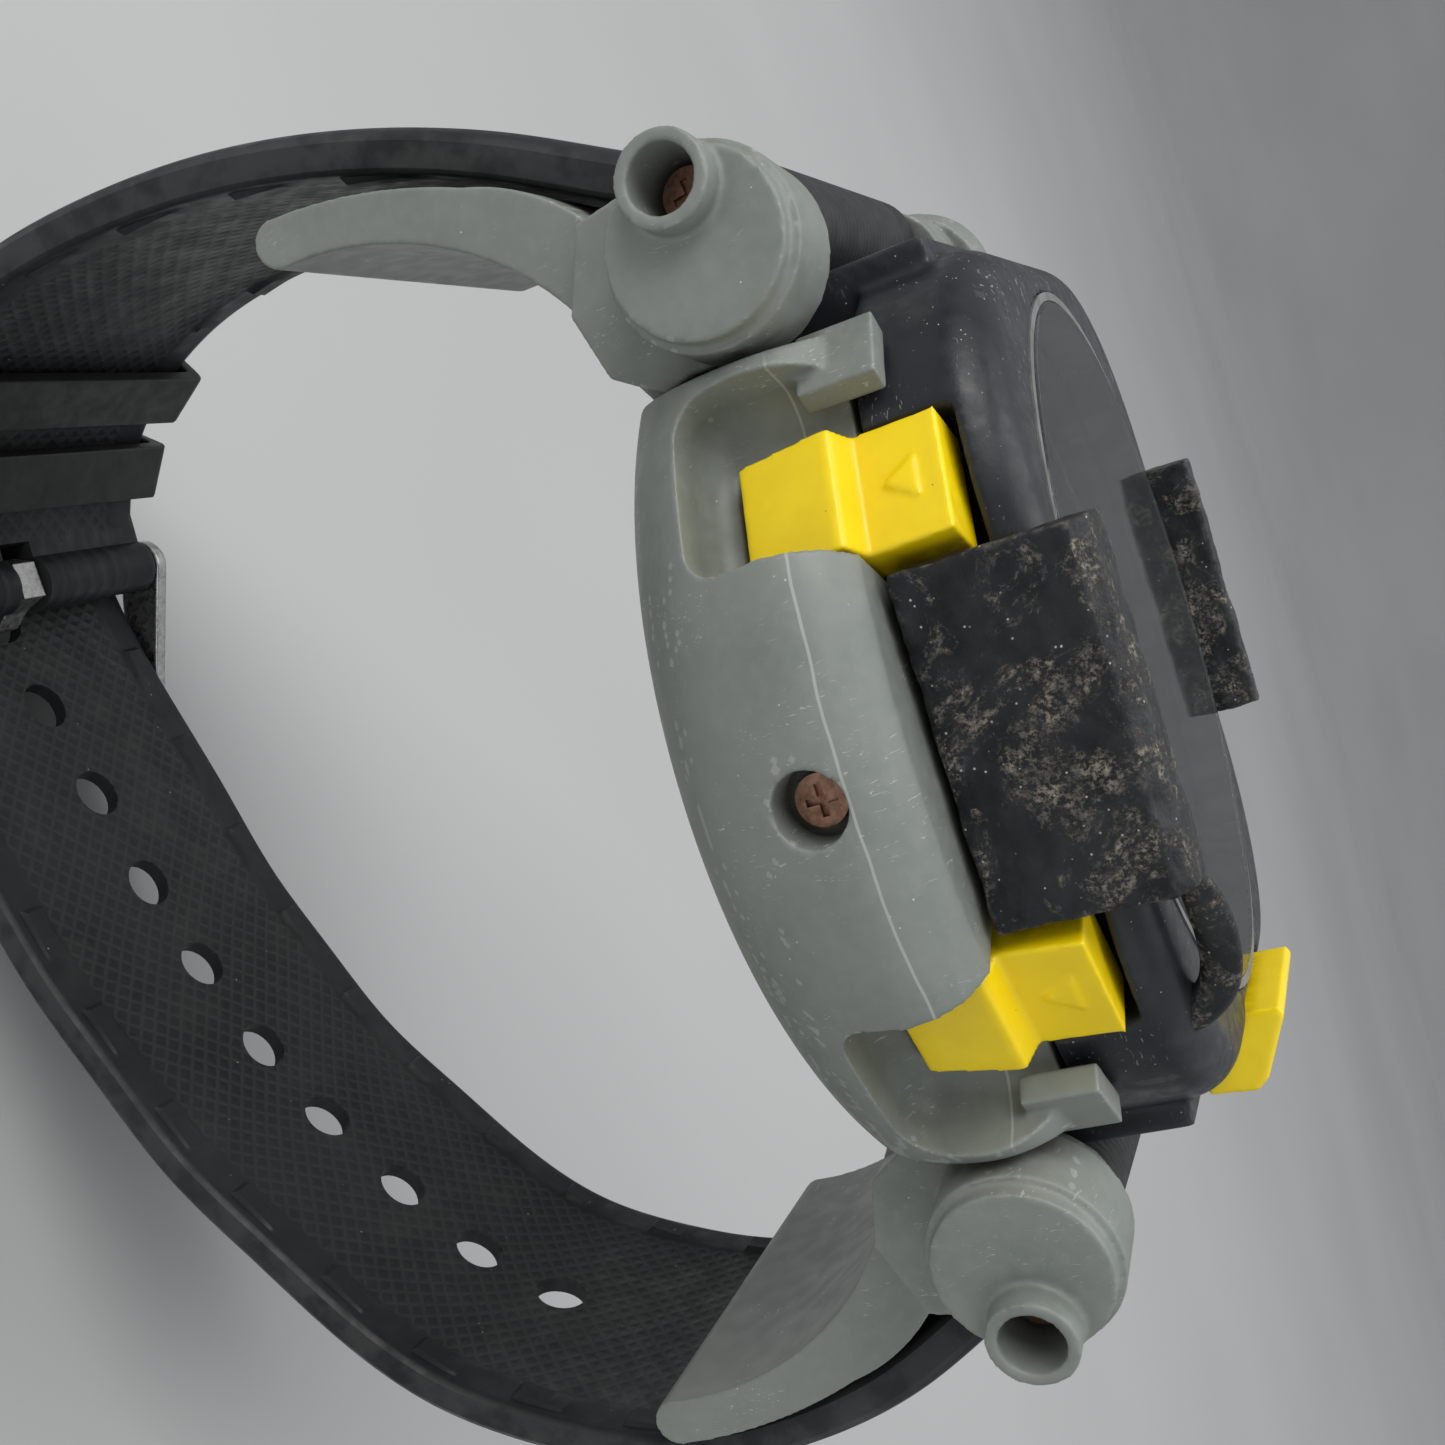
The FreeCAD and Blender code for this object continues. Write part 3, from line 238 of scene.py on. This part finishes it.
def guard_rubber():
    p = Paint("guard_worn_rubber", 0.7, ior=1.36)
    tone = p.mix(p.band(p.noise(0.4, 4), 0.35, 0.65), (0.006, 0.0068, 0.0085), (0.017, 0.0185, 0.021))
    patch = p.band(p.noise(0.30, 6, 0.7, 0.8), 0.475, 0.60)
    grain = p.band(p.noise(3.4, 6, 0.8), 0.46, 0.58)
    dirt = p.maths("MULTIPLY", patch, grain)
    tan = p.mix(p.band(p.noise(0.9, 3), 0.4, 0.6), (0.14, 0.13, 0.115), (0.30, 0.265, 0.215))
    tone = p.mix(dirt, tone, tan)
    film = p.maths("MULTIPLY", p.band(p.noise(0.55, 5, 0.7), 0.45, 0.75), 0.35)
    tone = p.mix(film, tone, (0.035, 0.035, 0.034))
    specks = p.band(p.cells(1.9), 0.06, 0.12, 1.0, 0.0)
    specks = p.maths("MULTIPLY", specks, p.band(p.noise(0.8, 2), 0.46, 0.55))
    tone = p.mix(specks, tone, (0.42, 0.42, 0.40))
    wear = p.maths("MULTIPLY", p.edges(0.51, 0.56), p.band(p.noise(1.8, 5, 0.7), 0.42, 0.6))
    tone = p.mix(p.maths("MULTIPLY", wear, 0.6), tone, (0.17, 0.155, 0.13))
    height = p.maths("ADD", p.noise(1.3, 6, 0.65), p.maths("MULTIPLY", dirt, 0.35))
    return p.finish(tone, p.band(dirt, 0.0, 1.0, 0.42, 0.9), height, 0.7, 0.14)


def strap_rubber():
    p = Paint("strap_rubber", 0.5, ior=1.38)
    tone = p.mix(p.band(p.noise(0.09, 4), 0.3, 0.7), (0.009, 0.0097, 0.011), (0.018, 0.0195, 0.0225))
    run, across, rise = p.value("run"), p.value("across"), p.value("rise")
    one = p.maths("SINE", p.maths("MULTIPLY", p.maths("ADD", run, across), 5.2))
    two = p.maths("SINE", p.maths("MULTIPLY", p.maths("SUBTRACT", run, across), 5.2))
    hatch = p.maths("MAXIMUM", one, two)
    inside = p.band(rise, -2.08, -1.9, 1.0, 0.0)
    middle = p.band(p.maths("ABSOLUTE", across), 8.2, 8.6, 1.0, 0.0)
    field = p.maths("MULTIPLY", inside, middle)
    tone = p.mix(p.maths("MULTIPLY", field, p.band(hatch, 0.3, 1.0, 0.0, 0.5)), tone, (0.038, 0.038, 0.038))
    haze = p.maths("MULTIPLY", p.band(p.noise(0.16, 5, 0.65), 0.48, 0.72), 0.3)
    tone = p.mix(haze, tone, (0.05, 0.049, 0.046))
    rim = p.band(p.maths("ABSOLUTE", across), 10.55, 10.95)
    rim = p.maths("MULTIPLY", rim, p.band(p.noise(0.5, 5), 0.36, 0.6))
    tone = p.mix(p.maths("MULTIPLY", rim, 0.22), tone, (0.11, 0.112, 0.11))
    specks = p.band(p.cells(0.9), 0.03, 0.06, 1.0, 0.0)
    specks = p.maths("MULTIPLY", specks, p.band(p.noise(0.35, 2), 0.53, 0.6))
    tone = p.mix(specks, tone, (0.3, 0.29, 0.26))
    height = p.maths("MULTIPLY", field, hatch)
    height = p.maths("ADD", height, p.maths("MULTIPLY", p.noise(4.0, 4), 0.5))
    return p.finish(tone, p.band(p.noise(0.7, 4), 0.3, 0.7, 0.42, 0.6), height, 0.35, 0.06)


def plain_rubber(name, light):
    p = Paint(name, 0.5)
    low, high = (0.014 * light,) * 3, (0.03 * light,) * 3
    tone = p.mix(p.band(p.noise(0.5, 4), 0.3, 0.7), low, high)
    tone = p.mix(p.maths("MULTIPLY", p.edges(0.52, 0.58), 0.4), tone, (0.11, 0.11, 0.105))
    return p.finish(tone, p.band(p.noise(1.0, 3), 0.3, 0.7, 0.45, 0.65), p.noise(5.0, 4), 0.25, 0.04)


def metal(name, colour, dark, rough, spots=0.5):
    p = Paint(name, rough, metal=1.0)
    tone = p.mix(p.band(p.noise(2.4, 5, 0.7), 0.5 - 0.2 * spots, 0.8), colour, dark)
    lines = p.noise(4.0, 3, 0.5, 0.0, p.stretch((0.25, 5.0, 5.0)))
    return p.finish(tone, p.band(p.noise(3.0, 4), 0.3, 0.7, rough - 0.08, rough + 0.15), lines, 0.2, 0.02)


def display_glass():
    """Clear flat glass with a fine haze of dust."""
    p = Paint("lens_glass", 0.7)
    p.put(p.shader.inputs["Base Color"], (0.55, 0.6, 0.62))
    clear = p.add("ShaderNodeBsdfTransparent")
    clear.inputs[0].default_value = (0.93, 0.96, 0.96, 1.0)
    gloss = p.add("ShaderNodeBsdfGlossy")
    gloss.inputs["Roughness"].default_value = 0.04
    fresnel = p.add("ShaderNodeFresnel")
    fresnel.inputs["IOR"].default_value = 1.5
    pane = p.add("ShaderNodeMixShader")
    p.put(pane.inputs[0], fresnel.outputs[0])
    p.tree.links.new(clear.outputs[0], pane.inputs[1])
    p.tree.links.new(gloss.outputs[0], pane.inputs[2])
    dust = p.band(p.noise(2.8, 6, 0.75), 0.56, 0.8, 0.02, 0.16)
    top = p.add("ShaderNodeMixShader")
    p.put(top.inputs[0], dust)
    p.tree.links.new(pane.outputs[0], top.inputs[1])
    p.tree.links.new(p.shader.outputs[0], top.inputs[2])
    p.tree.links.new(top.outputs[0], p.out.inputs[0])
    return p.mat


def dial_print():
    p = Paint("dial_ring_print", 0.35)
    r = radius_of(p)
    tone = p.mix(p.band(p.noise(1.0, 3), 0.3, 0.7), (0.02, 0.023, 0.026), (0.032, 0.036, 0.04))
    angle = p.maths("ARCTAN2", p.axis("Y"), p.axis("X"))
    teeth = p.maths("ABSOLUTE", p.maths("SINE", p.maths("MULTIPLY", angle, 30.0)))
    ticks = p.maths("MULTIPLY", p.band(teeth, 0.0, 0.12, 1.0, 0.0), stripe(p, r, 13.2, 14.1))
    tone = p.mix(p.maths("MULTIPLY", ticks, 0.5), tone, (0.35, 0.37, 0.38))
    tone = p.mix(stripe(p, r, 14.5, 14.95), tone, (0.5, 0.53, 0.54))
    return p.finish(tone, 0.4, p.noise(4.0, 2), 0.1, 0.02)


def lcd_print():
    p = Paint("lcd_panel_face", 0.25)
    x, y = p.axis("X"), p.axis("Y")
    tone = p.mix(p.band(p.noise(0.15, 3), 0.3, 0.7), (0.19, 0.22, 0.2), (0.24, 0.27, 0.245))
    upright = p.maths("MULTIPLY", stripe(p, x, -6.4, -5.7), stripe(p, y, -2.4, 2.6))
    foot = p.maths("MULTIPLY", stripe(p, x, -6.4, -3.0), stripe(p, y, -2.4, -1.8))
    bars = p.maths("MULTIPLY", stripe(p, y, 6.3, 6.6), stripe(p, x, -8.5, 8.5))
    marks = p.maths("MAXIMUM", p.maths("MAXIMUM", upright, foot), bars)
    tone = p.mix(p.maths("MULTIPLY", marks, 0.55), tone, (0.08, 0.09, 0.085))
    return p.finish(tone, 0.3, p.noise(3.0, 2), 0.05, 0.01)


def board_print():
    p = Paint("board_mask", 0.4)
    tracks = p.band(p.cells(1.2, feature="DISTANCE_TO_EDGE"), 0.03, 0.06, 1.0, 0.0)
    tone = p.mix(tracks, (0.006, 0.07, 0.025), (0.02, 0.15, 0.05))
    return p.finish(tone, 0.35, tracks, 0.3, 0.03)


GREY = grey_plastic()
YELLOW = yellow_plastic()
BEZEL = bezel_plastic()
GUARD = guard_rubber()
STRAP = strap_rubber()
LOOP = plain_rubber("keeper_rubber", 0.7)
SEAL = plain_rubber("seal_rubber", 0.8)
GASKET = plain_rubber("gasket_rubber", 9.0)
STEEL = metal("worn_steel", (0.55, 0.55, 0.54), (0.28, 0.26, 0.23), 0.32)
COPPER = metal("tarnished_copper", (0.42, 0.24, 0.17), (0.16, 0.09, 0.06), 0.42, 0.9)
CELL = metal("cell_can", (0.7, 0.7, 0.69), (0.5, 0.5, 0.5), 0.25, 0.2)

PAINTS = {
    "upper_case": BEZEL, "back_cover": BEZEL, "battery_hatch": BEZEL, "lcd_bracket": BEZEL,
    "side_cover_9": GREY, "side_cover_3": GREY, "end_piece_12": GREY, "end_piece_6": GREY,
    "cover_screws": COPPER, "end_screws_12": COPPER, "end_screws_6": COPPER, "lens": display_glass(),
    "lens_gasket": GASKET, "back_gasket": SEAL, "hatch_seal": SEAL, "sensor_seal": SEAL,
    "dial_ring": dial_print(), "lcd_panel": lcd_print(), "circuit_board": board_print(),
    "guard_9": GUARD, "guard_3": GUARD, "keeper_fixed": LOOP, "keeper_loose": LOOP, "battery": CELL,
    "button_front": YELLOW, "strap_12": STRAP, "strap_6": STRAP,
}
for name in BUTTONS:
    PAINTS[name] = YELLOW
for name, item in nodes.items():
    item.data.materials.clear()
    item.data.materials.append(PAINTS.get(name, STEEL))


# ---- moulded edges on the CAD's hard solids ---------------------------------------------------

def soften(name, grain, passes):
    """Closes a node's surface into an even skin and rounds its edges, as a mould does."""
    item = nodes[name]
    skin = item.modifiers.new("skin", "REMESH")
    skin.mode = "VOXEL"
    skin.voxel_size = grain * MM
    skin.use_smooth_shade = True
    soft = item.modifiers.new("soft", "SMOOTH")
    soft.factor = 0.5
    soft.iterations = passes
    return item


FINE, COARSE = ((0.12, 0.2))
for name in list(BUTTONS) + ["button_front"]:
    soften(name, FINE, 8)
for name in ("side_cover_9", "side_cover_3", "end_piece_12", "end_piece_6"):
    soften(name, FINE, 5)
soften("upper_case", COARSE, 4)
for name in ("keeper_fixed", "keeper_loose", "buckle_frame"):
    soften(name, FINE, 4)
soften("buckle_tongue", 0.1, 3)
for name in ("guard_9", "guard_3"):
    item = soften(name, FINE * 1.2, 14)
    cloud = bpy.data.textures.new(name + "_wear", "CLOUDS")
    cloud.noise_scale = 1.6 * MM
    cloud.noise_depth = 4
    worn = item.modifiers.new("worn", "DISPLACE")
    worn.texture = cloud
    worn.texture_coords = "LOCAL"
    worn.strength = 0.32 * MM
    worn.mid_level = 0.55


# ---- strap ---------------------------------------------------------------------------------

# outer line of each strap half in the YZ plane, in millimetres, from the lug to the free end
OUTER_12 = [(26.1, 7.8), (27.6, 4.8), (30.7, -0.7), (34.3, -9.2), (36.1, -16.4), (36.9, -25.1),
            (36.3, -33.0), (33.4, -40.4), (29.4, -45.0), (25.2, -47.4)]
OUTER_6 = [(-26.1, 7.8), (-27.7, 4.8), (-30.9, -0.7), (-33.5, -9.0), (-33.9, -14.8), (-31.8, -22.8),
           (-28.8, -28.6), (-24.2, -33.3), (-19.1, -37.0), (-13.6, -40.7), (-7.4, -43.4), (-1.4, -45.7),
           (5.2, -47.3), (12.6, -49.2), (17.6, -50.3), (21.8, -50.7)]
THICK, HALF, LAYER_GAP, PITCH = 2.2, 11.0, 0.7, 6.35
HOLE_RADIUS, TONGUE_HOLE_RADIUS = 1.5, 1.6

# axes of the 12 o'clock strap pin and the buckle bar, at (y, z); the other pin mirrors the first
PIN = (23.4, 7.8)
BAR = (21.8, -46.4)
LUG_RADIUS, PIN_ROOM = 2.7, 1.05
END_RADIUS, BAR_ROOM = 1.7, 0.85


class Line:
    """A smooth line through points, measured by its length."""

    def __init__(self, points):
        points = np.array(points, float)
        knots = np.concatenate([[0.0], np.cumsum(np.linalg.norm(np.diff(points, axis=0), axis=1))])
        count = len(points)
        steps = np.diff(knots)
        left, right = np.eye(count), np.zeros((count, 2))
        for k in range(1, count - 1):
            left[k, k - 1:k + 2] = steps[k - 1], 2 * (steps[k - 1] + steps[k]), steps[k]
            ahead = (points[k + 1] - points[k]) / steps[k]
            behind = (points[k] - points[k - 1]) / steps[k - 1]
            right[k] = 6 * (ahead - behind)
        curve = np.linalg.solve(left, right)
        fine = np.linspace(0.0, knots[-1], 4000)
        k = np.clip(np.searchsorted(knots, fine, side="right") - 1, 0, count - 2)
        a, b, gap = knots[k + 1] - fine, fine - knots[k], steps[k]
        one = points[k] / gap[:, None] - curve[k] * gap[:, None] / 6
        two = points[k + 1] / gap[:, None] - curve[k + 1] * gap[:, None] / 6
        cubes = curve[k] * (a ** 3 / (6 * gap))[:, None] + curve[k + 1] * (b ** 3 / (6 * gap))[:, None]
        self.spots = cubes + one * a[:, None] + two * b[:, None]
        self.runs = np.concatenate([[0.0], np.cumsum(np.linalg.norm(np.diff(self.spots, axis=0), axis=1))])
        self.length = self.runs[-1]

    def at(self, run):
        return np.array([np.interp(run, self.runs, self.spots[:, k]) for k in (0, 1)])

    def along(self, run):
        step = self.at(min(run + 0.05, self.length)) - self.at(max(run - 0.05, 0.0))
        return step / np.linalg.norm(step)

    def away(self, run):
        """The direction out of the strap's loop."""
        y, z = self.along(run)
        out = np.array([z, -y])
        return out if out @ (self.at(run) - np.array([0.0, -18.0])) > 0 else -out


def mesh_piece(name, points, faces, paint):
    data = bpy.data.meshes.new(name)
    data.from_pydata([Vector(spot) * MM for spot in points], [], faces)
    data.validate()
    built = bmesh.new()
    built.from_mesh(data)
    bmesh.ops.recalc_face_normals(built, faces=built.faces)
    built.to_mesh(data)
    built.free()
    data.materials.append(paint)
    item = bpy.data.objects.new(name, data)
    bpy.context.scene.collection.objects.link(item)
    return item


def tube(name, rings, paint):
    """A closed skin over rings of the same number of points."""
    count = len(rings[0])
    points = [spot for ring in rings for spot in ring]
    faces = [tuple(range(count - 1, -1, -1)), tuple(range(len(points) - count, len(points)))]
    for k in range(len(rings) - 1):
        for j in range(count):
            nxt = (j + 1) % count
            faces.append((k * count + j, k * count + nxt, (k + 1) * count + nxt, (k + 1) * count + j))
    return mesh_piece(name, points, faces, paint)


def rod(name, radius, centre, half, paint):
    """A rod along X at (y, z)."""
    sides = 48
    ends = []
    for x in (-half, half):
        ends.append([(x, centre[0] + radius * math.cos(2 * math.pi * k / sides),
                      centre[1] + radius * math.sin(2 * math.pi * k / sides)) for k in range(sides)])
    return tube(name, ends, paint)


def drill(name, spot, away, radius, depth, paint):
    """A round cutter in the strap's thickness, at (y, z)."""
    axis = Vector((0.0, away[0], away[1]))
    side = Vector((1.0, 0.0, 0.0))
    up = axis.cross(side)
    rings = []
    for reach in (-depth, depth):
        centre = Vector((0.0, spot[0], spot[1])) + axis * reach
        rings.append([tuple(centre + (side * math.cos(t) + up * math.sin(t)) * radius)
                      for t in np.linspace(0, 2 * math.pi, 33)[:-1]])
    return tube(name, rings, paint)


def combine(item, tool, kind):
    """Applies an exact boolean and drops the tool."""
    step = item.modifiers.new(kind, "BOOLEAN")
    step.operation = kind
    step.solver = "EXACT"
    step.object = tool
    bpy.context.view_layer.update()
    graph = bpy.context.evaluated_depsgraph_get()
    data = bpy.data.meshes.new_from_object(item.evaluated_get(graph))
    item.modifiers.clear()
    item.data = data
    bpy.data.objects.remove(tool, do_unlink=True)


TOOTH_PITCH, TOOTH_RISE = 6.9, 0.34


def profile(width, tooth, channel):
    """The strap's section: (across, depth under the outer line), with worn outer edges and toothed pads."""
    under = -THICK - tooth
    half = [(0.0, -channel), (3.6, -channel), (4.1, -0.1 * channel), (4.6, 0.0), (9.5, -0.02),
            (10.2, -0.1), (10.7, -0.34), (HALF, -0.75), (HALF, -1.6), (10.93, -1.95), (10.7, -2.15),
            (10.45, -THICK), (10.15, -THICK), (10.0, under), (8.85, under), (8.6, -THICK),
            (8.4, -2.12), (5.0, -2.12), (0.0, -2.12)]
    scale = width / HALF
    right = [(u * scale, d) for u, d in half]
    left = [(-u * scale, d) for u, d in reversed(half[1:-1])]
    return right + left


def strap(name, line, tip, teeth_from, teeth_to, channel=(0.0, 0.0, 0.0)):
    """A strap half. tip is the length that narrows, and channel is (depth, from, to) along the line."""
    step = 0.3
    rings = []
    for run in np.arange(0.0, line.length + 1e-6, step):
        width = HALF
        left = line.length - run
        if tip and left < tip:
            width = HALF * math.sqrt(max(0.03, 1.0 - ((tip - left) / tip) ** 2.4))
        phase = ((run - teeth_from) % TOOTH_PITCH) / TOOTH_PITCH
        tooth = TOOTH_RISE * max(0.0, (phase - 0.35) / 0.65) if teeth_from < run < teeth_to else 0.0
        spot, away = line.at(run), line.away(run)
        ends = min(max(run - channel[1], 0.0), max(channel[2] - run, 0.0), 1.0)
        ring = [(u, *(spot + away * d)) for u, d in profile(width, tooth, channel[0] * ends)]
        rings.append(ring)
    return tube(name, rings, STRAP)


def mark_strap(item, line):
    """Stores each point's run along the strap, its place across it and its depth under the outer line."""
    count = len(item.data.vertices)
    flat = np.empty(count * 3)
    item.data.vertices.foreach_get("co", flat)
    spots = flat.reshape(-1, 3) / MM
    near, steps = line.spots[::4], line.runs[::4]
    runs, rises = np.empty(count), np.empty(count)
    for low in range(0, count, 4000):
        part = spots[low:low + 4000, 1:]
        gaps = ((part[:, None, :] - near[None, :, :]) ** 2).sum(axis=2)
        best = gaps.argmin(axis=1)
        runs[low:low + 4000] = steps[best]
        rises[low:low + 4000] = -np.sqrt(gaps.min(axis=1))
    for label, values in (("run", runs), ("across", spots[:, 0]), ("rise", rises)):
        field = item.data.attributes.new(label, "FLOAT", "POINT")
        field.data.foreach_set("value", values.astype(np.float32))
    item.data.materials.clear()
    item.data.materials.append(STRAP)
    item.data.shade_smooth()
    item.data.set_sharp_from_angle(angle=math.radians(32))


line_12 = Line(OUTER_12)

# the holed half's end lies a layer over the buckle half, at these distances back from the latter's end
tail = [tuple(line_12.at(line_12.length - back) + line_12.away(line_12.length - back) * (LAYER_GAP + THICK))
        for back in (1.5, 7.0, 12.5, 18.0)]
line_6 = Line(OUTER_6 + tail)

strap_12 = strap("strap_buckle_half", line_12, 0.0, 12.0, line_12.length - 17.0)
combine(strap_12, rod("lug_rod", LUG_RADIUS, PIN, HALF - 0.01, STRAP), "UNION")
combine(strap_12, rod("end_rod", END_RADIUS, BAR, HALF - 0.01, STRAP), "UNION")

# the block that joins the strap to the rod round the buckle bar, leaning with the strap
LEAN, BRIDGE_LONG, BRIDGE_HIGH = math.radians(5), 3.8, 2.1
corner = np.array([BAR[0] + 0.1, BAR[1] - 1.3])
long = np.array([math.cos(LEAN), math.sin(LEAN)])
high = np.array([-math.sin(LEAN), math.cos(LEAN)])
bridge = []
for x in (-HALF + 0.02, HALF - 0.02):
    bridge.append([(x, *(corner + long * a + high * b))
                   for a, b in ((0, 0), (BRIDGE_LONG, 0), (BRIDGE_LONG, BRIDGE_HIGH), (0, BRIDGE_HIGH))])
combine(strap_12, tube("bridge", bridge, STRAP), "UNION")
combine(strap_12, rod("pin_room", PIN_ROOM, PIN, HALF + 1, STRAP), "DIFFERENCE")
combine(strap_12, rod("bar_room", BAR_ROOM, BAR, HALF + 1, STRAP), "DIFFERENCE")

# the slot for the tongue: its half width, its reach behind and ahead of the bar, and its half height
SLOT_HALF, SLOT_BACK, SLOT_FRONT, SLOT_HIGH = 1.25, 3.0, 2.4, 4.0
slot = [[(x, BAR[0] - SLOT_BACK, BAR[1] - SLOT_HIGH), (x, BAR[0] + SLOT_FRONT, BAR[1] - SLOT_HIGH),
         (x, BAR[0] + SLOT_FRONT, BAR[1] + SLOT_HIGH), (x, BAR[0] - SLOT_BACK, BAR[1] + SLOT_HIGH)]
        for x in (-SLOT_HALF, SLOT_HALF)]
combine(strap_12, tube("tongue_slot", slot, STRAP), "DIFFERENCE")
mark_strap(strap_12, line_12)

PIN_6 = (-PIN[0], PIN[1])
channel_6 = (1.15, 17.0, line_6.length - 22.0)
strap_6 = strap("strap_holed_half", line_6, 7.0, 14.0, line_6.length - 16.0, channel_6)
combine(strap_6, rod("lug_rod", LUG_RADIUS, PIN_6, HALF - 0.01, STRAP), "UNION")
combine(strap_6, rod("pin_room", PIN_ROOM, PIN_6, HALF + 1, STRAP), "DIFFERENCE")

# holes run both ways from the one that the tongue is in, number 0
buckled = line_6.runs[np.argmin(((line_6.spots - np.array([BAR[0] - 1.75, -50.6])) ** 2).sum(axis=1))]
for number in range(-2, 10):
    run = buckled - number * PITCH
    if 16.0 < run < line_6.length - 4.0:
        radius = TONGUE_HOLE_RADIUS if number == 0 else HOLE_RADIUS
        cutter = drill("hole", line_6.at(run), line_6.away(run), radius, 4 * THICK, STRAP)
        combine(strap_6, cutter, "DIFFERENCE")
mark_strap(strap_6, line_6)

for item, node_name, body in ((strap_12, "strap_12", "strap_upper"), (strap_6, "strap_6", "strap_lower")):
    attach(item, body)
    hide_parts(node_name)


# ---- return springs, each a copy fixed to the case --------------------------------------------


def coil_piece(name):
    """A copy of a button's return spring, fixed to the case in place of the original."""
    node = nodes[name + "_spring"]
    item = bpy.data.objects.new(name + "_coil", node.data.copy())
    item.matrix_world = node.matrix_world
    bpy.context.scene.collection.objects.link(item)
    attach(item, "case")
    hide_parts(node.name)
    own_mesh(item)


for name, degrees in BUTTONS.items():
    coil_piece(name)


# ---- rubber lip between the 9 o'clock guard and the lower corner of the bezel --------------------

LIP = [(-16.9, -6.9, 19.6), (-16.6, -8.4, 20.0), (-16.2, -10.0, 20.05), (-15.8, -11.5, 19.85),
       (-15.4, -12.7, 19.3), (-15.2, -13.4, 18.5), (-15.2, -13.9, 17.6), (-15.3, -14.2, 16.7)]
LIP_HALF, LIP_RISE, LIP_SINK = 0.6, 0.85, 0.5


def lip_piece():
    """A slim rib that stands on the bezel's top and turns down over its edge."""
    path = [Vector(spot) for spot in LIP]
    rings = []
    for k, spot in enumerate(path):
        along = (path[min(k + 1, len(path) - 1)] - path[max(k - 1, 0)]).normalized()
        side = along.cross(Vector((0.0, 0.0, 1.0))).normalized()
        up = side.cross(along)
        thin = 0.55 if k in (0, len(path) - 1) else 1.0
        ring = []
        for t in np.linspace(0, 2 * math.pi, 17)[:-1]:
            across, rise = side * (LIP_HALF * thin * math.cos(t)), up * (LIP_RISE * thin * math.sin(t))
            ring.append(tuple(spot + across + rise - up * LIP_SINK))
        rings.append(ring)
    item = tube("guard_lip", rings, GUARD)
    item.data.shade_smooth()
    smooth = item.modifiers.new("smooth", "SUBSURF")
    smooth.levels = smooth.render_levels = 2
    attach(item, "case")


lip_piece()


# ---- stage, light and camera ------------------------------------------------------------------

# the floor lies just under the strap; its rings are (radius, rise), in millimetres
FLOOR = -53.4
FLOOR_RINGS = [(1.0, 0.0), (400.0, 0.0), (1400.0, 0.0), (1700.0, 60.0), (1950.0, 250.0), (2050.0, 600.0)]


def stage_floor():
    """A pale floor that curves up far away."""
    p = Paint("stage_pale", 0.85)
    tone = p.mix(p.band(p.noise(0.004, 3), 0.3, 0.7), (0.45, 0.455, 0.455), (0.5, 0.505, 0.505))
    paint = p.finish(tone)
    rings = []
    for radius, rise in FLOOR_RINGS:
        rings.append([(radius * math.cos(t), radius * math.sin(t), FLOOR + rise)
                      for t in np.linspace(0, 2 * math.pi, 65)[:-1]])
    count = len(rings[0])
    points = [spot for ring in rings for spot in ring]
    faces = [tuple(range(count))]
    for k in range(len(rings) - 1):
        for j in range(count):
            nxt = (j + 1) % count
            faces.append((k * count + j, k * count + nxt, (k + 1) * count + nxt, (k + 1) * count + j))
    item = mesh_piece("stage_floor", points, faces, paint)
    item.data.shade_smooth()


def lamp(name, place, size, power, colour):
    """A square soft light that faces the object. Its place and size are in metres, its power in watts."""
    data = bpy.data.lights.new(name, "AREA")
    data.shape = "SQUARE"
    data.size = size
    data.energy = power
    data.color = colour
    item = bpy.data.objects.new(name, data)
    item.location = place
    item.rotation_euler = (Vector((0.0, 0.0, -0.01)) - Vector(place)).to_track_quat("-Z", "Y").to_euler()
    bpy.context.scene.collection.objects.link(item)


SKY, SKY_STRENGTH = (0.86, 0.88, 0.9, 1.0), 0.55

# the camera's place in metres, and the directions of its view
CAMERA_PLACE = (-0.08150, 0.00915, 0.02996)
RIGHT = Vector((0.345843, -0.308165, 0.886243))
DOWN = Vector((-0.193975, -0.947605, -0.253807))
AHEAD = Vector((0.918023, -0.084132, -0.387499))
SENSOR, LENS = 36.0, 41.96


def studio_world():
    world = bpy.data.worlds.new("studio")
    world.use_nodes = True
    back = world.node_tree.nodes["Background"]
    back.inputs["Color"].default_value = SKY
    back.inputs["Strength"].default_value = SKY_STRENGTH
    bpy.context.scene.world = world
    bpy.context.scene.view_settings.view_transform = "Standard"


def place_camera():
    data = bpy.data.cameras.new("camera")
    data.sensor_width = SENSOR
    data.lens = LENS
    data.clip_start = 0.002
    camera = bpy.data.objects.new("camera", data)
    turn = Matrix((RIGHT, -DOWN, -AHEAD)).transposed().to_4x4()
    camera.matrix_world = Matrix.Translation(CAMERA_PLACE) @ turn
    bpy.context.scene.collection.objects.link(camera)
    bpy.context.scene.camera = camera


stage_floor()
lamp("key", (-0.25, 0.40, 0.35), 0.35, 2.0, (1.0, 0.985, 0.96))
lamp("top", (0.10, 0.05, 0.60), 0.5, 1.6, (1.0, 1.0, 1.0))
lamp("fill", (-0.45, -0.30, 0.15), 0.5, 0.5, (0.94, 0.97, 1.0))
studio_world()
place_camera()

bpy.context.view_layer.update()
